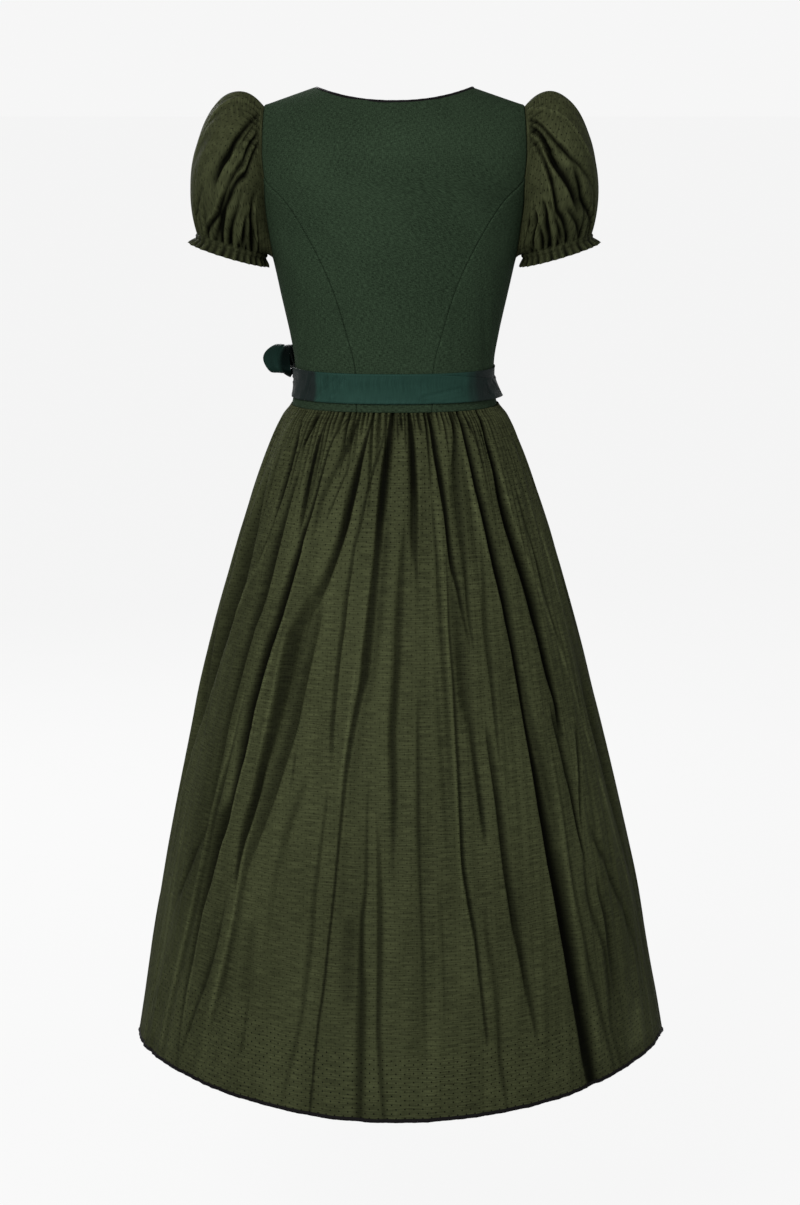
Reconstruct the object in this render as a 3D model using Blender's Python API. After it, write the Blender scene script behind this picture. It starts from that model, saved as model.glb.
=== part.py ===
"""Dirndl dress: fitted bodice, puff sleeves, ribbon belt tied in a bow, gathered skirt and apron.

Metres, +Z up, the front faces -Y. Angles are counted from centre back and grow towards the
wearer's right side (-X), so the left side is -90 degrees and centre front is 180 degrees.
Z is zero at the neck points, midway between the shoulders.
"""

import math

import bpy
import numpy as np

# ---- named sizes -------------------------------------------------------------------------------

CLOTH = 0.0014
RIBBON_CLOTH = 0.0010
SEAM_GAP = 0.0003
WAIST_Z = -0.3815
HEM_Z = -1.185
BINDING_HEIGHT = 0.006
BINDING_CLOTH = 0.0020
NECK_HALF = 0.0947
SHOULDER_HALF = 0.1567
SHOULDER_SLOPE = 0.347
SHOULDER_Y = 0.005
SHOULDER_ROUND = 0.120
BACK_NECK_DROP = 0.0155
FRONT_NECK_DROP = 0.138
SQUARENESS = 0.87
BACK_CORNER_Z = -0.105
FRONT_CORNER_Z = -0.115
UNDERARM_Z = -0.205
PIPING_RADIUS = 0.0011
RIBBON_TOP_Z = -0.3355
RIBBON_BOTTOM_Z = -0.3710
APRON_HALF_ANGLE = 64.0
APRON_CLEARANCE = 0.0027
APRON_CLOTH = 0.0012
APRON_FOLD_SHARE = 0.55
FRONT_FOLD_SHARE = 0.55
KNOT_ANGLE = -129.0
KNOT_HALF_SIZE = (0.0105, 0.0068, 0.0150)
TAIL_TOP_Z = -0.3698
TAIL_CLEARANCE = 0.0052

# z, half width, depth to the back, depth to the front
BODY_SECTIONS = (
    (-0.4200, 0.1290, 0.1030, 0.1060),
    (-0.3815, 0.1250, 0.0985, 0.1010),
    (-0.3550, 0.1207, 0.0955, 0.0985),
    (-0.3300, 0.1215, 0.0960, 0.1010),
    (-0.2970, 0.1268, 0.0980, 0.1070),
    (-0.2680, 0.1330, 0.1000, 0.1140),
    (-0.2480, 0.1376, 0.1010, 0.1190),
    (-0.2090, 0.1462, 0.1030, 0.1270),
    (-0.1700, 0.1570, 0.1050, 0.1280),
    (-0.1300, 0.1660, 0.1070, 0.1240),
    (-0.0900, 0.1705, 0.1080, 0.1160),
    (-0.0500, 0.1715, 0.1070, 0.1080),
    (0.0400, 0.1715, 0.1050, 0.1030),
)

# z, distance of the panel's outer edge from the middle (seam below the corner, armhole above)
BACK_EDGE = (
    (-0.3815, 0.0450),
    (-0.3370, 0.0462),
    (-0.2840, 0.0583),
    (-0.2300, 0.0757),
    (-0.1600, 0.1112),
    (-0.1300, 0.1325),
    (-0.1050, 0.1560),
    (-0.0750, 0.1588),
    (-0.0450, 0.1582),
    (-0.0215, 0.1567),
)
FRONT_EDGE = (
    (-0.3815, 0.0560),
    (-0.3370, 0.0590),
    (-0.2840, 0.0690),
    (-0.2200, 0.0840),
    (-0.1700, 0.1050),
    (-0.1400, 0.1250),
    (-0.1150, 0.1475),
    (-0.0850, 0.1480),
    (-0.0500, 0.1520),
    (-0.0215, 0.1567),
)
# heights of the rows along each panel's outer edge
LOW_ROWS = (-0.3815, -0.370, -0.355, -0.336, -0.300, -0.262)
BACK_ROWS = LOW_ROWS + (-0.222, -0.182, -0.142, -0.105, -0.080, -0.056, -0.038, -0.0275, -0.0225, -0.0215)
FRONT_ROWS = LOW_ROWS + (-0.224, -0.187, -0.150, -0.115, -0.086, -0.059, -0.039, -0.0275, -0.0225, -0.0215)
CORNER_ROW = 9
LEVEL_ROW = 7
BACK_COLUMNS = (0.0, 0.20, 0.40, 0.604, 0.75, 0.89, 1.0)
FRONT_COLUMNS = (0.0, 0.20, 0.36, 0.48, 0.55, 0.586, 0.604, 0.75, 0.89, 1.0)
# share of the way from the corner round to the side seam, share of the drop to the underarm
ARMHOLE_CURVE = ((0.0, 0.0), (0.16, 0.36), (0.32, 0.66), (0.52, 0.87), (0.75, 0.97), (1.0, 1.0))

# z, half width, depth to the back, depth to the front, shift of the middle
SKIRT_SECTIONS = (
    (-0.3600, 0.1215, 0.0960, 0.0990, -0.0007),
    (-0.3815, 0.1272, 0.1000, 0.1030, -0.0007),
    (-0.3950, 0.1372, 0.1095, 0.1130, -0.0007),
    (-0.4270, 0.1518, 0.1250, 0.1300, -0.0007),
    (-0.4770, 0.1707, 0.1440, 0.1500, -0.0007),
    (-0.5270, 0.1872, 0.1620, 0.1680, -0.0007),
    (-0.6020, 0.2092, 0.1870, 0.1930, -0.0007),
    (-0.6780, 0.2310, 0.2120, 0.2180, -0.0010),
    (-0.7290, 0.2434, 0.2260, 0.2320, -0.0013),
    (-0.8060, 0.2613, 0.2480, 0.2530, -0.0031),
    (-0.8840, 0.2787, 0.2680, 0.2720, -0.0044),
    (-0.9880, 0.2997, 0.2930, 0.2960, -0.0062),
    (-1.0930, 0.3172, 0.3150, 0.3160, -0.0069),
    (-1.1850, 0.3325, 0.3320, 0.3320, -0.0075),
)

# angle from the middle of the width (to the right at the back), how far the hem rides up there
HEM_LIFT = (
    (-90.0, 0.0),
    (-76.0, 0.0105),
    (-60.0, 0.0135),
    (-45.0, 0.0110),
    (-30.0, 0.0060),
    (-12.0, 0.0),
    (0.0, -0.0010),
    (12.0, 0.0010),
    (30.0, 0.0060),
    (45.0, 0.0115),
    (60.0, 0.0175),
    (76.0, 0.0160),
    (90.0, 0.0),
)

# A row for each fold groove. "angle" columns give its place in degrees and "deep" columns its depth
# in millimetres at the six levels of FOLD_LEVELS, "wide" its width in millimetres,
# "front" says whether the front width has one like it.
FOLD_LEVELS = (0.0, 0.15, 0.30, 0.45, 0.70, 1.0)
FOLDS = (
    # name         angle at each level                       deep at each level              wide front
    ("side_left", (-85.0, -84.0, -78.5, -81.0, -85.0, -86.0), (2.0, 3.0, 2.0, 3.0, 3.0, 2.0), 8.0, 1),
    ("dark_left", (-76.0, -75.0, -66.5, -71.0, -79.0, -80.0), (2.5, 5.0, 12.0, 7.0, 3.0, 2.0), 10.0, 0),
    ("short_one", (-57.0, -53.0, -58.0, -63.0, -70.0, -71.0), (2.5, 5.0, 1.0, 0.5, 1.5, 2.5), 6.0, 1),
    ("soft_left", (-47.5, -47.0, -50.0, -55.0, -60.5, -62.5), (2.5, 3.0, 5.0, 5.0, 3.0, 3.0), 8.0, 1),
    ("short_two", (-39.0, -39.0, -45.0, -50.7, -57.0, -60.0), (3.0, 6.0, 1.0, 0.0, 0.0, 0.5), 5.0, 0),
    ("deep_left", (-31.0, -34.0, -40.0, -46.5, -53.5, -57.0), (3.0, 7.0, 12.0, 12.0, 6.0, 3.0), 8.0, 1),
    ("low_left", (-25.0, -28.0, -36.3, -41.5, -46.5, -50.0), (2.5, 1.0, 0.0, 0.0, 2.5, 3.0), 6.0, 0),
    ("swing_left", (-13.0, -18.0, -32.5, -37.2, -42.5, -44.5), (3.0, 9.0, 7.0, 8.0, 3.0, 1.5), 9.0, 1),
    ("thin_left", (-7.0, -12.5, -16.0, -17.4, -21.3, -24.0), (2.5, 3.0, 3.0, 2.5, 2.5, 3.0), 5.0, 0),
    ("long_left", (-1.5, -4.2, -6.8, -12.0, -16.3, -20.0), (3.0, 9.0, 7.0, 5.0, 4.0, 3.0), 8.0, 1),
    ("low_mid", (3.5, 1.5, -1.5, -5.5, -9.2, -9.3), (2.5, 1.0, 0.0, 0.0, 2.5, 4.0), 6.0, 1),
    ("middle", (9.0, 7.7, 3.0, -0.2, -4.6, -4.5), (3.0, 9.0, 5.0, 4.0, 2.5, 3.5), 8.0, 0),
    ("faint_mid", (13.5, 12.2, 8.5, 6.3, 5.1, 5.4), (2.5, 1.0, 1.0, 1.0, 2.0, 1.5), 6.0, 1),
    ("thin_right", (17.0, 16.2, 16.7, 17.1, 17.0, 19.8), (2.0, 3.0, 3.5, 3.5, 3.5, 3.0), 5.0, 0),
    ("short_three", (21.0, 20.0, 22.3, 22.0, 22.3, 24.0), (3.0, 9.0, 5.0, 2.5, 2.0, 2.5), 6.0, 1),
    ("low_right", (29.0, 25.8, 25.6, 26.6, 28.3, 31.5), (3.0, 4.0, 2.0, 2.5, 4.0, 3.0), 7.0, 0),
    ("gap", (36.0, 35.4, 39.2, 39.9, 42.0, 46.8), (4.0, 13.0, 19.0, 23.0, 24.0, 19.0), 13.0, 1),
    ("short_four", (43.0, 42.3, 46.0, 47.0, 48.8, 51.5), (2.5, 1.5, 0.0, 0.0, 0.5, 1.5), 5.0, 0),
    ("deep_right", (49.5, 48.7, 52.6, 53.7, 54.2, 56.0), (3.5, 12.0, 14.0, 11.0, 4.0, 4.0), 9.0, 1),
    ("thin_side", (58.0, 57.7, 59.8, 63.0, 65.5, 66.0), (2.5, 3.0, 3.0, 2.5, 2.0, 2.5), 6.0, 0),
    ("soft_right", (66.5, 66.0, 68.0, 71.0, 75.5, 76.5), (2.5, 3.0, 3.0, 3.0, 3.0, 2.0), 9.0, 1),
    ("side_right", (76.0, 76.0, 77.0, 79.5, 83.0, 84.0), (2.5, 3.0, 3.0, 4.0, 3.0, 2.0), 9.0, 0),
)
SKIRT_ROWS = (0.0, 0.035, 0.09, 0.17, 0.28, 0.41, 0.57, 0.75, 0.93, 1.0)

# Sleeve: the cuff ring, and the pull of the puff at the armhole and at the cuff.
CUFF_CENTRE = (0.1965, 0.002, -0.1865)
CUFF_RADIUS = (0.0452, 0.0520)
CUFF_TILT = 16.7
CASING_LENGTH = 0.0055
FRILL_LENGTH = 0.0090
FRILL_FLARE = 0.0048
# turn (0 outer, 90 back, 180 underarm), pull at the armhole (out, back, up), pull at the cuff (out, back, up)
PUFF_PULL = (
    (0.0, (0.052, 0.000, 0.0640), (0.027, 0.000, 0.088)),
    (45.0, (0.046, 0.026, 0.0470), (0.021, 0.024, 0.081)),
    (90.0, (0.026, 0.042, 0.0140), (0.000, 0.036, 0.062)),
    (135.0, (0.007, 0.018, 0.0030), (-0.004, 0.012, 0.022)),
    (180.0, (0.002, 0.000, 0.0045), (-0.001, 0.000, 0.0045)),
)
PUFF_LIMIT = 0.62
PUFF_ROWS = (0.0, 0.07, 0.20, 0.35, 0.50, 0.65, 0.80, 0.92, 1.0)
# share of the way down the sleeve, depth of the gathers
GATHER_DEPTH = (
    (0.0, 0.0),
    (0.07, 0.0022),
    (0.20, 0.0034),
    (0.50, 0.0026),
    (0.80, 0.0030),
    (0.92, 0.0026),
    (1.0, 0.0012),
)
# depth of each gather against the mean, repeated round the sleeve
GATHER_WEIGHTS = (1.0, 0.45, 1.35, 0.7, 1.15, 0.35, 1.5, 0.8, 0.55, 1.2)

# angle, how far the outer ribbon's top edge sits below the inner one's, how far it stands out
RIBBON_SLIP = (
    (-132.0, 0.0, 0.0),
    (10.0, 0.0, 0.0),
    (35.0, 0.0040, 0.0002),
    (60.0, 0.0090, 0.0018),
    (90.0, 0.0140, 0.0062),
    (130.0, 0.0100, 0.0014),
    (180.0, 0.0030, 0.0),
    (232.0, 0.0, 0.0),
)
# name, reach (left, back, up) from the knot, height of the opening, width of the ribbon at the tip,
# whether the opening stands upright, where it leaves the knot (along, out)
BOW_LOOPS = (
    ("bow_loop_back", (0.029, 0.048, 0.028), 0.058, 0.030, True, (0.0021, 0.0055)),
    ("bow_loop_front", (-0.050, -0.056, 0.006), 0.026, 0.033, False, (0.0006, 0.0010)),
)
# name, angle at the knot, angle at the end, length down the skirt
BOW_TAILS = (
    ("bow_tail_back", -127.2, -117.0, 0.290),
    ("bow_tail_front", -130.8, -139.0, 0.267),
)

MATERIALS = {
    "bodice_linen": (0.024, 0.040, 0.023, 1.0),
    "skirt_cotton": (0.030, 0.033, 0.016, 1.0),
    "black_trim": (0.004, 0.004, 0.004, 1.0),
    "shot_ribbon": (0.016, 0.046, 0.036, 1.0),
}


# ---- small tools -------------------------------------------------------------------------------

def clear_scene():
    for thing in list(bpy.data.objects):
        bpy.data.objects.remove(thing)


def make_material(name):
    material = bpy.data.materials.new(name)
    material.use_nodes = True
    shader = material.node_tree.nodes["Principled BSDF"]
    shader.inputs["Base Color"].default_value = MATERIALS[name]
    shader.inputs["Roughness"].default_value = 0.75
    return material


def smooth_table(rows, at, column):
    """The named column of a table read smoothly between its rows, with no overshoot."""
    rows = sorted(rows, key=lambda row: row[0])
    xs = np.array([row[0] for row in rows], float)
    ys = np.array([row[column] for row in rows], float)
    return smooth_values(xs, ys, at)


def smooth_values(xs, ys, at):
    step = np.diff(xs)
    slope = np.diff(ys) / step
    tangent = np.zeros(len(xs))
    tangent[0] = slope[0]
    tangent[-1] = slope[-1]
    for k in range(1, len(xs) - 1):
        if slope[k - 1] * slope[k] > 0:
            tangent[k] = 2 * slope[k - 1] * slope[k] / (slope[k - 1] + slope[k])
    at = np.clip(np.asarray(at, float), xs[0], xs[-1])
    k = np.clip(np.searchsorted(xs, at, side="right") - 1, 0, len(xs) - 2)
    h = step[k]
    u = (at - xs[k]) / h
    first = (1 + 2 * u) * (1 - u) ** 2 * ys[k] + u * (1 - u) ** 2 * h * tangent[k]
    second = u * u * (3 - 2 * u) * ys[k + 1] + u * u * (u - 1) * h * tangent[k + 1]
    return first + second


def signed_power(value, power):
    return np.sign(value) * np.abs(value) ** power


def unit(vectors):
    length = np.linalg.norm(vectors, axis=-1, keepdims=True)
    return vectors / np.maximum(length, 1e-12)


def body_normals(angle, z):
    """Normals of the body form, so that panels meeting at a seam share them."""
    step = 1e-4
    across = body_point(angle + step, z) - body_point(angle - step, z)
    down = body_point(angle, z - step) - body_point(angle, z + step)
    return unit(np.cross(down, across))


def grid_normals(grid, closed, centre):
    """Normals of a grid of points, facing away from centre."""
    if closed:
        along = np.roll(grid, -1, axis=1) - np.roll(grid, 1, axis=1)
    else:
        along = np.gradient(grid, axis=1)
    down = np.gradient(grid, axis=0)
    normals = unit(np.cross(along, down))
    if np.sum(normals * (grid - centre)) < 0:
        normals = -normals
    return normals


def wall_object(name, grid, thickness, material, closed=False, centre=None, normals=None):
    """A closed wall: the grid is its outer face, the inner face lies one thickness inside."""
    rows, columns = grid.shape[:2]
    if centre is None:
        centre = grid.mean(axis=1, keepdims=True) if closed else np.array([0.0, 0.0, -0.3])
    if normals is None:
        normals = grid_normals(grid, closed, centre)
    inner = grid - normals * thickness
    points = np.concatenate([grid.reshape(-1, 3), inner.reshape(-1, 3)])
    count = rows * columns
    faces = []
    last = columns if closed else columns - 1
    for r in range(rows - 1):
        for c in range(last):
            a = r * columns + c
            b = r * columns + (c + 1) % columns
            d = a + columns
            e = b + columns
            faces += [(a, b, e), (a, e, d)]
            faces += [(a + count, e + count, b + count), (a + count, d + count, e + count)]
    edge = [(c, (c + 1) % columns) for c in range(last)]
    for a, b in edge:
        faces += rim_faces(a, b, count)
        base = (rows - 1) * columns
        faces += rim_faces(base + b, base + a, count)
    if not closed:
        for r in range(rows - 1):
            a = r * columns
            faces += rim_faces(a + columns, a, count)
            b = a + columns - 1
            faces += rim_faces(b, b + columns, count)
    return mesh_object(name, points, faces, material)


def rim_faces(a, b, count):
    return [(b, a, a + count), (b, a + count, b + count)]


def mesh_object(name, points, faces, material):
    """A mesh object whose faces are turned outwards."""
    faces = np.array(faces)
    a, b, c = (points[faces[:, k]] for k in range(3))
    if np.sum(np.einsum("ij,ij->i", a, np.cross(b, c))) < 0:
        faces = faces[:, ::-1]
    mesh = bpy.data.meshes.new(name)
    mesh.from_pydata([tuple(p) for p in points], [], [tuple(int(i) for i in f) for f in faces])
    mesh.materials.append(material)
    thing = bpy.data.objects.new(name, mesh)
    bpy.context.scene.collection.objects.link(thing)
    return thing


def tube_object(name, path, side, up, radius, sides, material):
    """A round tube through a path; side and up span each section."""
    turns = np.arange(sides) * 2 * math.pi / sides
    rings = []
    for p, s, u in zip(path, side, up):
        rings += [p + radius * (math.cos(t) * s + math.sin(t) * u) for t in turns]
    points = np.array(rings)
    count = len(path)
    faces = []
    for r in range(count - 1):
        for k in range(sides):
            a = r * sides + k
            b = r * sides + (k + 1) % sides
            faces += [(a, b, b + sides), (a, b + sides, a + sides)]
    for k in range(1, sides - 1):
        faces.append((0, k + 1, k))
        base = (count - 1) * sides
        faces.append((base, base + k, base + k + 1))
    return mesh_object(name, points, faces, material)


# ---- bodice ------------------------------------------------------------------------------------

def body_point(angle, z, out=0.0):
    """A point of the body form; angle in radians from centre back."""
    half = smooth_table(BODY_SECTIONS, z, 1) + out
    back = smooth_table(BODY_SECTIONS, z, 2) + out
    front = smooth_table(BODY_SECTIONS, z, 3) + out
    x = -half * signed_power(np.sin(angle), SQUARENESS)
    depth = np.where(np.cos(angle) >= 0, back, front)
    y = depth * signed_power(np.cos(angle), SQUARENESS)
    below = shoulder_z(x) - z
    share = np.clip(below / SHOULDER_ROUND, 0.0, 1.0)
    rounding = (1.0 - (1.0 - share) ** 2.4) ** 0.75
    y = SHOULDER_Y + (y - SHOULDER_Y) * rounding
    return np.stack([x, y, z + 0.0 * x], axis=-1)


def angle_of_x(x, z):
    """Angle from the middle at which the body form is this far out."""
    share = np.clip(np.abs(x) / smooth_table(BODY_SECTIONS, z, 1), 0.0, 1.0)
    return np.arcsin(share ** (1.0 / SQUARENESS))


def shoulder_z(x):
    """The shoulder line, carried on over the neck as a smooth arch."""
    sloping = -SHOULDER_SLOPE * (np.abs(x) - NECK_HALF)
    arch = SHOULDER_SLOPE * (NECK_HALF ** 2 - x * x) / (2 * NECK_HALF)
    return np.where(np.abs(x) > NECK_HALF, sloping, arch)


def neckline_z(x, drop, power):
    share = np.clip(np.abs(x) / NECK_HALF, 0.0, 1.0)
    return -drop * (1.0 - share ** power)


def centre_grid(front, columns):
    """Points of a centre panel as (share across, row) with its neckline and shoulder on top."""
    edge = FRONT_EDGE if front else BACK_EDGE
    heights = np.array(FRONT_ROWS if front else BACK_ROWS)
    drop = FRONT_NECK_DROP if front else BACK_NECK_DROP
    power = 2.8 if front else 2.2
    edge_x = smooth_table(edge, heights, 1) - seam_inset(edge, heights)
    level = heights[LEVEL_ROW]
    share = np.clip((heights - level) / (heights[-1] - level), 0.0, 1.0)
    top_x = np.array(columns) * SHOULDER_HALF
    top = np.where(np.abs(top_x) <= NECK_HALF + 1e-6, neckline_z(top_x, drop, power), shoulder_z(top_x))
    x = edge_x[:, None] * np.array(columns)[None, :]
    z = np.minimum(heights, level)[:, None] + share[:, None] * (top[None, :] - level)
    z[0] += SEAM_GAP / 2
    angle = angle_of_x(x, z) * np.sign(x + 1e-12)
    if front:
        angle = math.pi - angle
    grid = body_point(angle, z)
    normals = body_normals(angle, z)
    nearest = SHOULDER_Y + (-SEAM_GAP if front else SEAM_GAP) / 2
    grid[..., 1] = np.minimum(grid[..., 1], nearest) if front else np.maximum(grid[..., 1], nearest)
    shoulder = np.abs(top_x) >= NECK_HALF - 1e-6
    normals[-1, shoulder, 1] = 0.0
    if front:
        normals[:, 0, 0] = 0.0
    return grid, unit(normals)


def side_grid(front, sign):
    """Points of a side panel, from its seam with the centre panel round to the side seam."""
    edge = FRONT_EDGE if front else BACK_EDGE
    heights = np.array((FRONT_ROWS if front else BACK_ROWS)[: CORNER_ROW + 1])
    corner = heights[-1]
    share = (heights - WAIST_Z) / (corner - WAIST_Z)
    inner = angle_of_x(smooth_table(edge, heights, 1) + seam_inset(edge, heights), heights)
    across = np.array([row[0] for row in ARMHOLE_CURVE])
    drop = np.array([row[1] for row in ARMHOLE_CURVE])
    top = corner + drop * (UNDERARM_Z - corner)
    outer = math.pi / 2 - SEAM_GAP / 2 / 0.14
    angle = inner[:, None] + across[None, :] * (outer - inner[:, None])
    z = WAIST_Z + share[:, None] * (top[None, :] - WAIST_Z)
    z[0] += SEAM_GAP / 2
    if front:
        angle = math.pi - angle
    normals = body_normals(angle * sign, z)
    normals[:, -1, 1] = 0.0
    return body_point(angle * sign, z), unit(normals)


def seam_inset(edge, heights):
    """Half the seam gap measured across a slanting edge."""
    step = 1e-3
    slope = (smooth_table(edge, heights + step, 1) - smooth_table(edge, heights - step, 1)) / (2 * step)
    return SEAM_GAP / 2 * np.sqrt(1 + slope * slope)


def make_bodice(linen, trim):
    columns = [-u for u in reversed(BACK_COLUMNS[1:])] + list(BACK_COLUMNS)
    grids = {"bodice_back_centre": centre_grid(False, columns)}
    front, normals = centre_grid(True, FRONT_COLUMNS)
    front[:, 0, 0] = -SEAM_GAP / 2
    mirror = np.array([-1.0, 1.0, 1.0])
    grids["bodice_front_right"] = (front, normals)
    grids["bodice_front_left"] = (front * mirror, normals * mirror)
    for name, sign in (("right", 1.0), ("left", -1.0)):
        grids["bodice_side_back_" + name] = side_grid(False, sign)
        grids["bodice_side_front_" + name] = side_grid(True, sign)
    for name, (grid, normals) in grids.items():
        wall_object(name, grid, CLOTH, linen, normals=normals)
    make_piping(grids, trim)
    return grids


def make_piping(grids, trim):
    """A thin cord along the neckline, from the centre-front opening round the back and home."""
    parts = []
    front_end = FRONT_COLUMNS.index(0.604) + 1
    middle = len(BACK_COLUMNS) - 1
    reach = BACK_COLUMNS.index(0.604)
    right = grids["bodice_front_right"]
    back = grids["bodice_back_centre"]
    left = grids["bodice_front_left"]
    pick = (
        (right, slice(0, front_end)),
        (back, slice(middle + reach - 1, middle - reach, -1)),
        (left, slice(front_end - 1, None, -1)),
    )
    normal_parts = []
    for (grid, normals), span in pick:
        parts.append((grid - normals * CLOTH / 2)[-1, span])
        normal_parts.append(normals[-1, span])
    edge = np.concatenate(parts)
    normals = np.concatenate(normal_parts)
    tangent = unit(np.gradient(edge, axis=0))
    across = unit(np.cross(tangent, normals))
    inward = np.array([0.0, 0.02, 0.06]) - edge
    flip = np.sign(np.sum(across * inward, axis=1, keepdims=True))
    across = across * flip
    path = edge + across * (PIPING_RADIUS + SEAM_GAP + 0.0002)
    path[0, 0] -= 2 * SEAM_GAP
    path[-1, 0] += 2 * SEAM_GAP
    tube_object("neck_piping", path, across, unit(np.cross(tangent, across)), PIPING_RADIUS, 6, trim)


# ---- skirt and apron ---------------------------------------------------------------------------

def fold_table():
    """All folds round the skirt: the back ones, then those the front width repeats."""
    back = [(row[1], row[2], row[3]) for row in FOLDS]
    front = []
    for name, angles, deep, wide, repeated in FOLDS:
        if repeated:
            front.append((tuple(a + 180.0 for a in angles), tuple(d * FRONT_FOLD_SHARE for d in deep), wide))
    return back, front


def fold_state(fold, t):
    """Place, depth and width of a fold at share t of the way down."""
    angles, deep, wide = fold
    levels = np.array(FOLD_LEVELS)
    place = float(smooth_values(levels, np.array(angles), t))
    depth = float(smooth_values(levels, np.array(deep), t)) / 1000.0
    narrow = 0.42 + 0.58 * min(1.0, t / 0.25)
    return place, depth, wide * narrow / 1000.0


def skirt_radii(t):
    z = WAIST_Z + t * (HEM_Z - WAIST_Z)
    return [float(smooth_table(SKIRT_SECTIONS, z, column)) for column in (1, 2, 3, 4)]


def skirt_columns(folds, t, start, end):
    """Angles of the columns at level t: each fold has its bottom, two flanks and a crest beside it."""
    half, back, front, shift = skirt_radii(t)
    radius = (half + back) / 2
    states = [fold_state(fold, t) for fold in folds]
    places = [start] + [state[0] for state in states] + [end]
    columns = [start]
    for k, (place, depth, wide) in enumerate(states):
        flank = math.degrees(0.78 * wide / radius)
        left = min(flank, 0.36 * (place - places[k]))
        right = min(flank, 0.36 * (places[k + 2] - place))
        if k > 0:
            columns.append((columns[-1] + place - left) / 2)
        columns += [place - left, place, place + right]
    columns.append(end)
    return np.array(columns)


def skirt_points(angles, t, share, out):
    """Points of the skirt's outer face at level t for angles in degrees."""
    back, front = fold_table()
    half, deep_back, deep_front, shift = skirt_radii(t)
    radius = (half + deep_back) / 2
    sink = np.zeros(len(angles))
    for fold in back + front:
        place, depth, wide = fold_state(fold, t)
        gap = (angles - place + 180.0) % 360.0 - 180.0
        reach = np.radians(gap) * radius / wide
        sink += depth * 2.0 ** (-4.0 * reach * reach)
    turn = np.radians(angles)
    power = SQUARENESS + (1.0 - SQUARENESS) * min(1.0, t / 0.3)
    x = -signed_power(np.sin(turn), power)
    y = signed_power(np.cos(turn), power)
    inset = share * sink - out
    px = x * (half - inset) + shift
    py = y * (np.where(y >= 0, deep_back, deep_front) - inset)
    folded = np.where(angles > 90.0, 180.0 - angles, np.where(angles < -90.0, -180.0 - angles, angles))
    z = WAIST_Z + t * (HEM_Z - WAIST_Z) + smooth_table(HEM_LIFT, folded, 1) * t ** 3
    return np.stack([px, py, z], axis=-1)


def skirt_grid(folds, rows, start, end, share=1.0, out=0.0):
    return np.array([skirt_points(skirt_columns(folds, t, start, end), t, share, out) for t in rows])


def make_skirt(cotton, trim):
    back, front = fold_table()
    gap = math.degrees(SEAM_GAP / 2 / 0.125)
    rows = list(SKIRT_ROWS)
    length = WAIST_Z - HEM_Z
    binding_top = 1.0 - BINDING_HEIGHT / length
    for name, folds, start, end in (("back", back, -90.0, 90.0), ("front", front, 90.0, 270.0)):
        grid = skirt_grid(folds, rows[:-1] + [binding_top], start + gap, end - gap)
        grid[0, :, 2] -= SEAM_GAP / 2
        wall_object("skirt_" + name, grid, CLOTH, cotton, normals=seam_normals(grid))
        strip = skirt_grid(folds, [binding_top, 1.0], start + gap, end - gap, out=SEAM_GAP)
        strip[0, :, 2] -= SEAM_GAP
        wall_object("hem_binding_" + name, strip, BINDING_CLOTH, trim, normals=seam_normals(strip))


def seam_normals(grid):
    """Normals whose side columns stay in the plane of the side seam, and end rows level."""
    normals = grid_normals(grid, False, np.array([0.0, 0.0, -0.3]))
    normals[:, 0, 1] = 0.0
    normals[:, -1, 1] = 0.0
    normals[0, :, 2] = 0.0
    normals[-1, :, 2] = 0.0
    return unit(normals)


def make_apron(cotton, ribbon):
    front = fold_table()[1]
    gap = math.degrees(SEAM_GAP / 2 / 0.125)
    rows = SKIRT_ROWS[:-1]
    grid = skirt_grid(front, rows, 90.0 + gap, 270.0 - gap, APRON_FOLD_SHARE, APRON_CLEARANCE)
    top_angles = skirt_columns(front, 0.0, 90.0 + gap, 270.0 - gap)
    inside = np.abs(top_angles - 180.0) < APRON_HALF_ANGLE
    grid = grid[:, inside]
    angles = np.radians(top_angles[inside])
    top = body_point(angles, np.full(len(angles), RIBBON_BOTTOM_Z - SEAM_GAP), 0.0028)
    grid = np.concatenate([top[None], grid])
    normals = grid_normals(grid, False, np.array([0.0, 0.0, -0.3]))
    normals[0, :, 2] = 0.0
    wall_object("apron", grid, APRON_CLOTH, cotton, normals=unit(normals))
    start = 180.0 - APRON_HALF_ANGLE
    make_band("apron_waistband", start + 0.1, 360.0 - start - 0.1, 0.0016, ribbon, 24)


def make_band(name, start, end, out, material, count, slip=False):
    """A ribbon that lies round the waist; out is the height of its outer face over the bodice."""
    angles = np.linspace(start, end, count + 1)
    levels = np.array([0.0, 0.5, 1.0])
    grid = []
    for share in levels:
        top = RIBBON_TOP_Z + 0.0 * angles
        stand = out + 0.0 * angles
        if slip:
            top = top - smooth_table(RIBBON_SLIP, angles, 1)
            stand = stand + smooth_table(RIBBON_SLIP, angles, 2) * share
        z = top + share * (RIBBON_BOTTOM_Z - top)
        row = body_point(np.radians(angles), z)
        normal = body_point(np.radians(angles), z, 0.001) - row
        grid.append(row + unit(normal) * stand[:, None])
    wall_object(name, np.array(grid), RIBBON_CLOTH, material)


def make_ribbon(ribbon):
    start = -180.0 + APRON_HALF_ANGLE
    make_band("ribbon_inner", start + 0.15, -start - 0.15, 0.0016, ribbon, 44)
    make_band("ribbon_outer", KNOT_ANGLE + 2.5, KNOT_ANGLE + 357.5, 0.0031, ribbon, 64, slip=True)


# ---- bow ---------------------------------------------------------------------------------------

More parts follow.
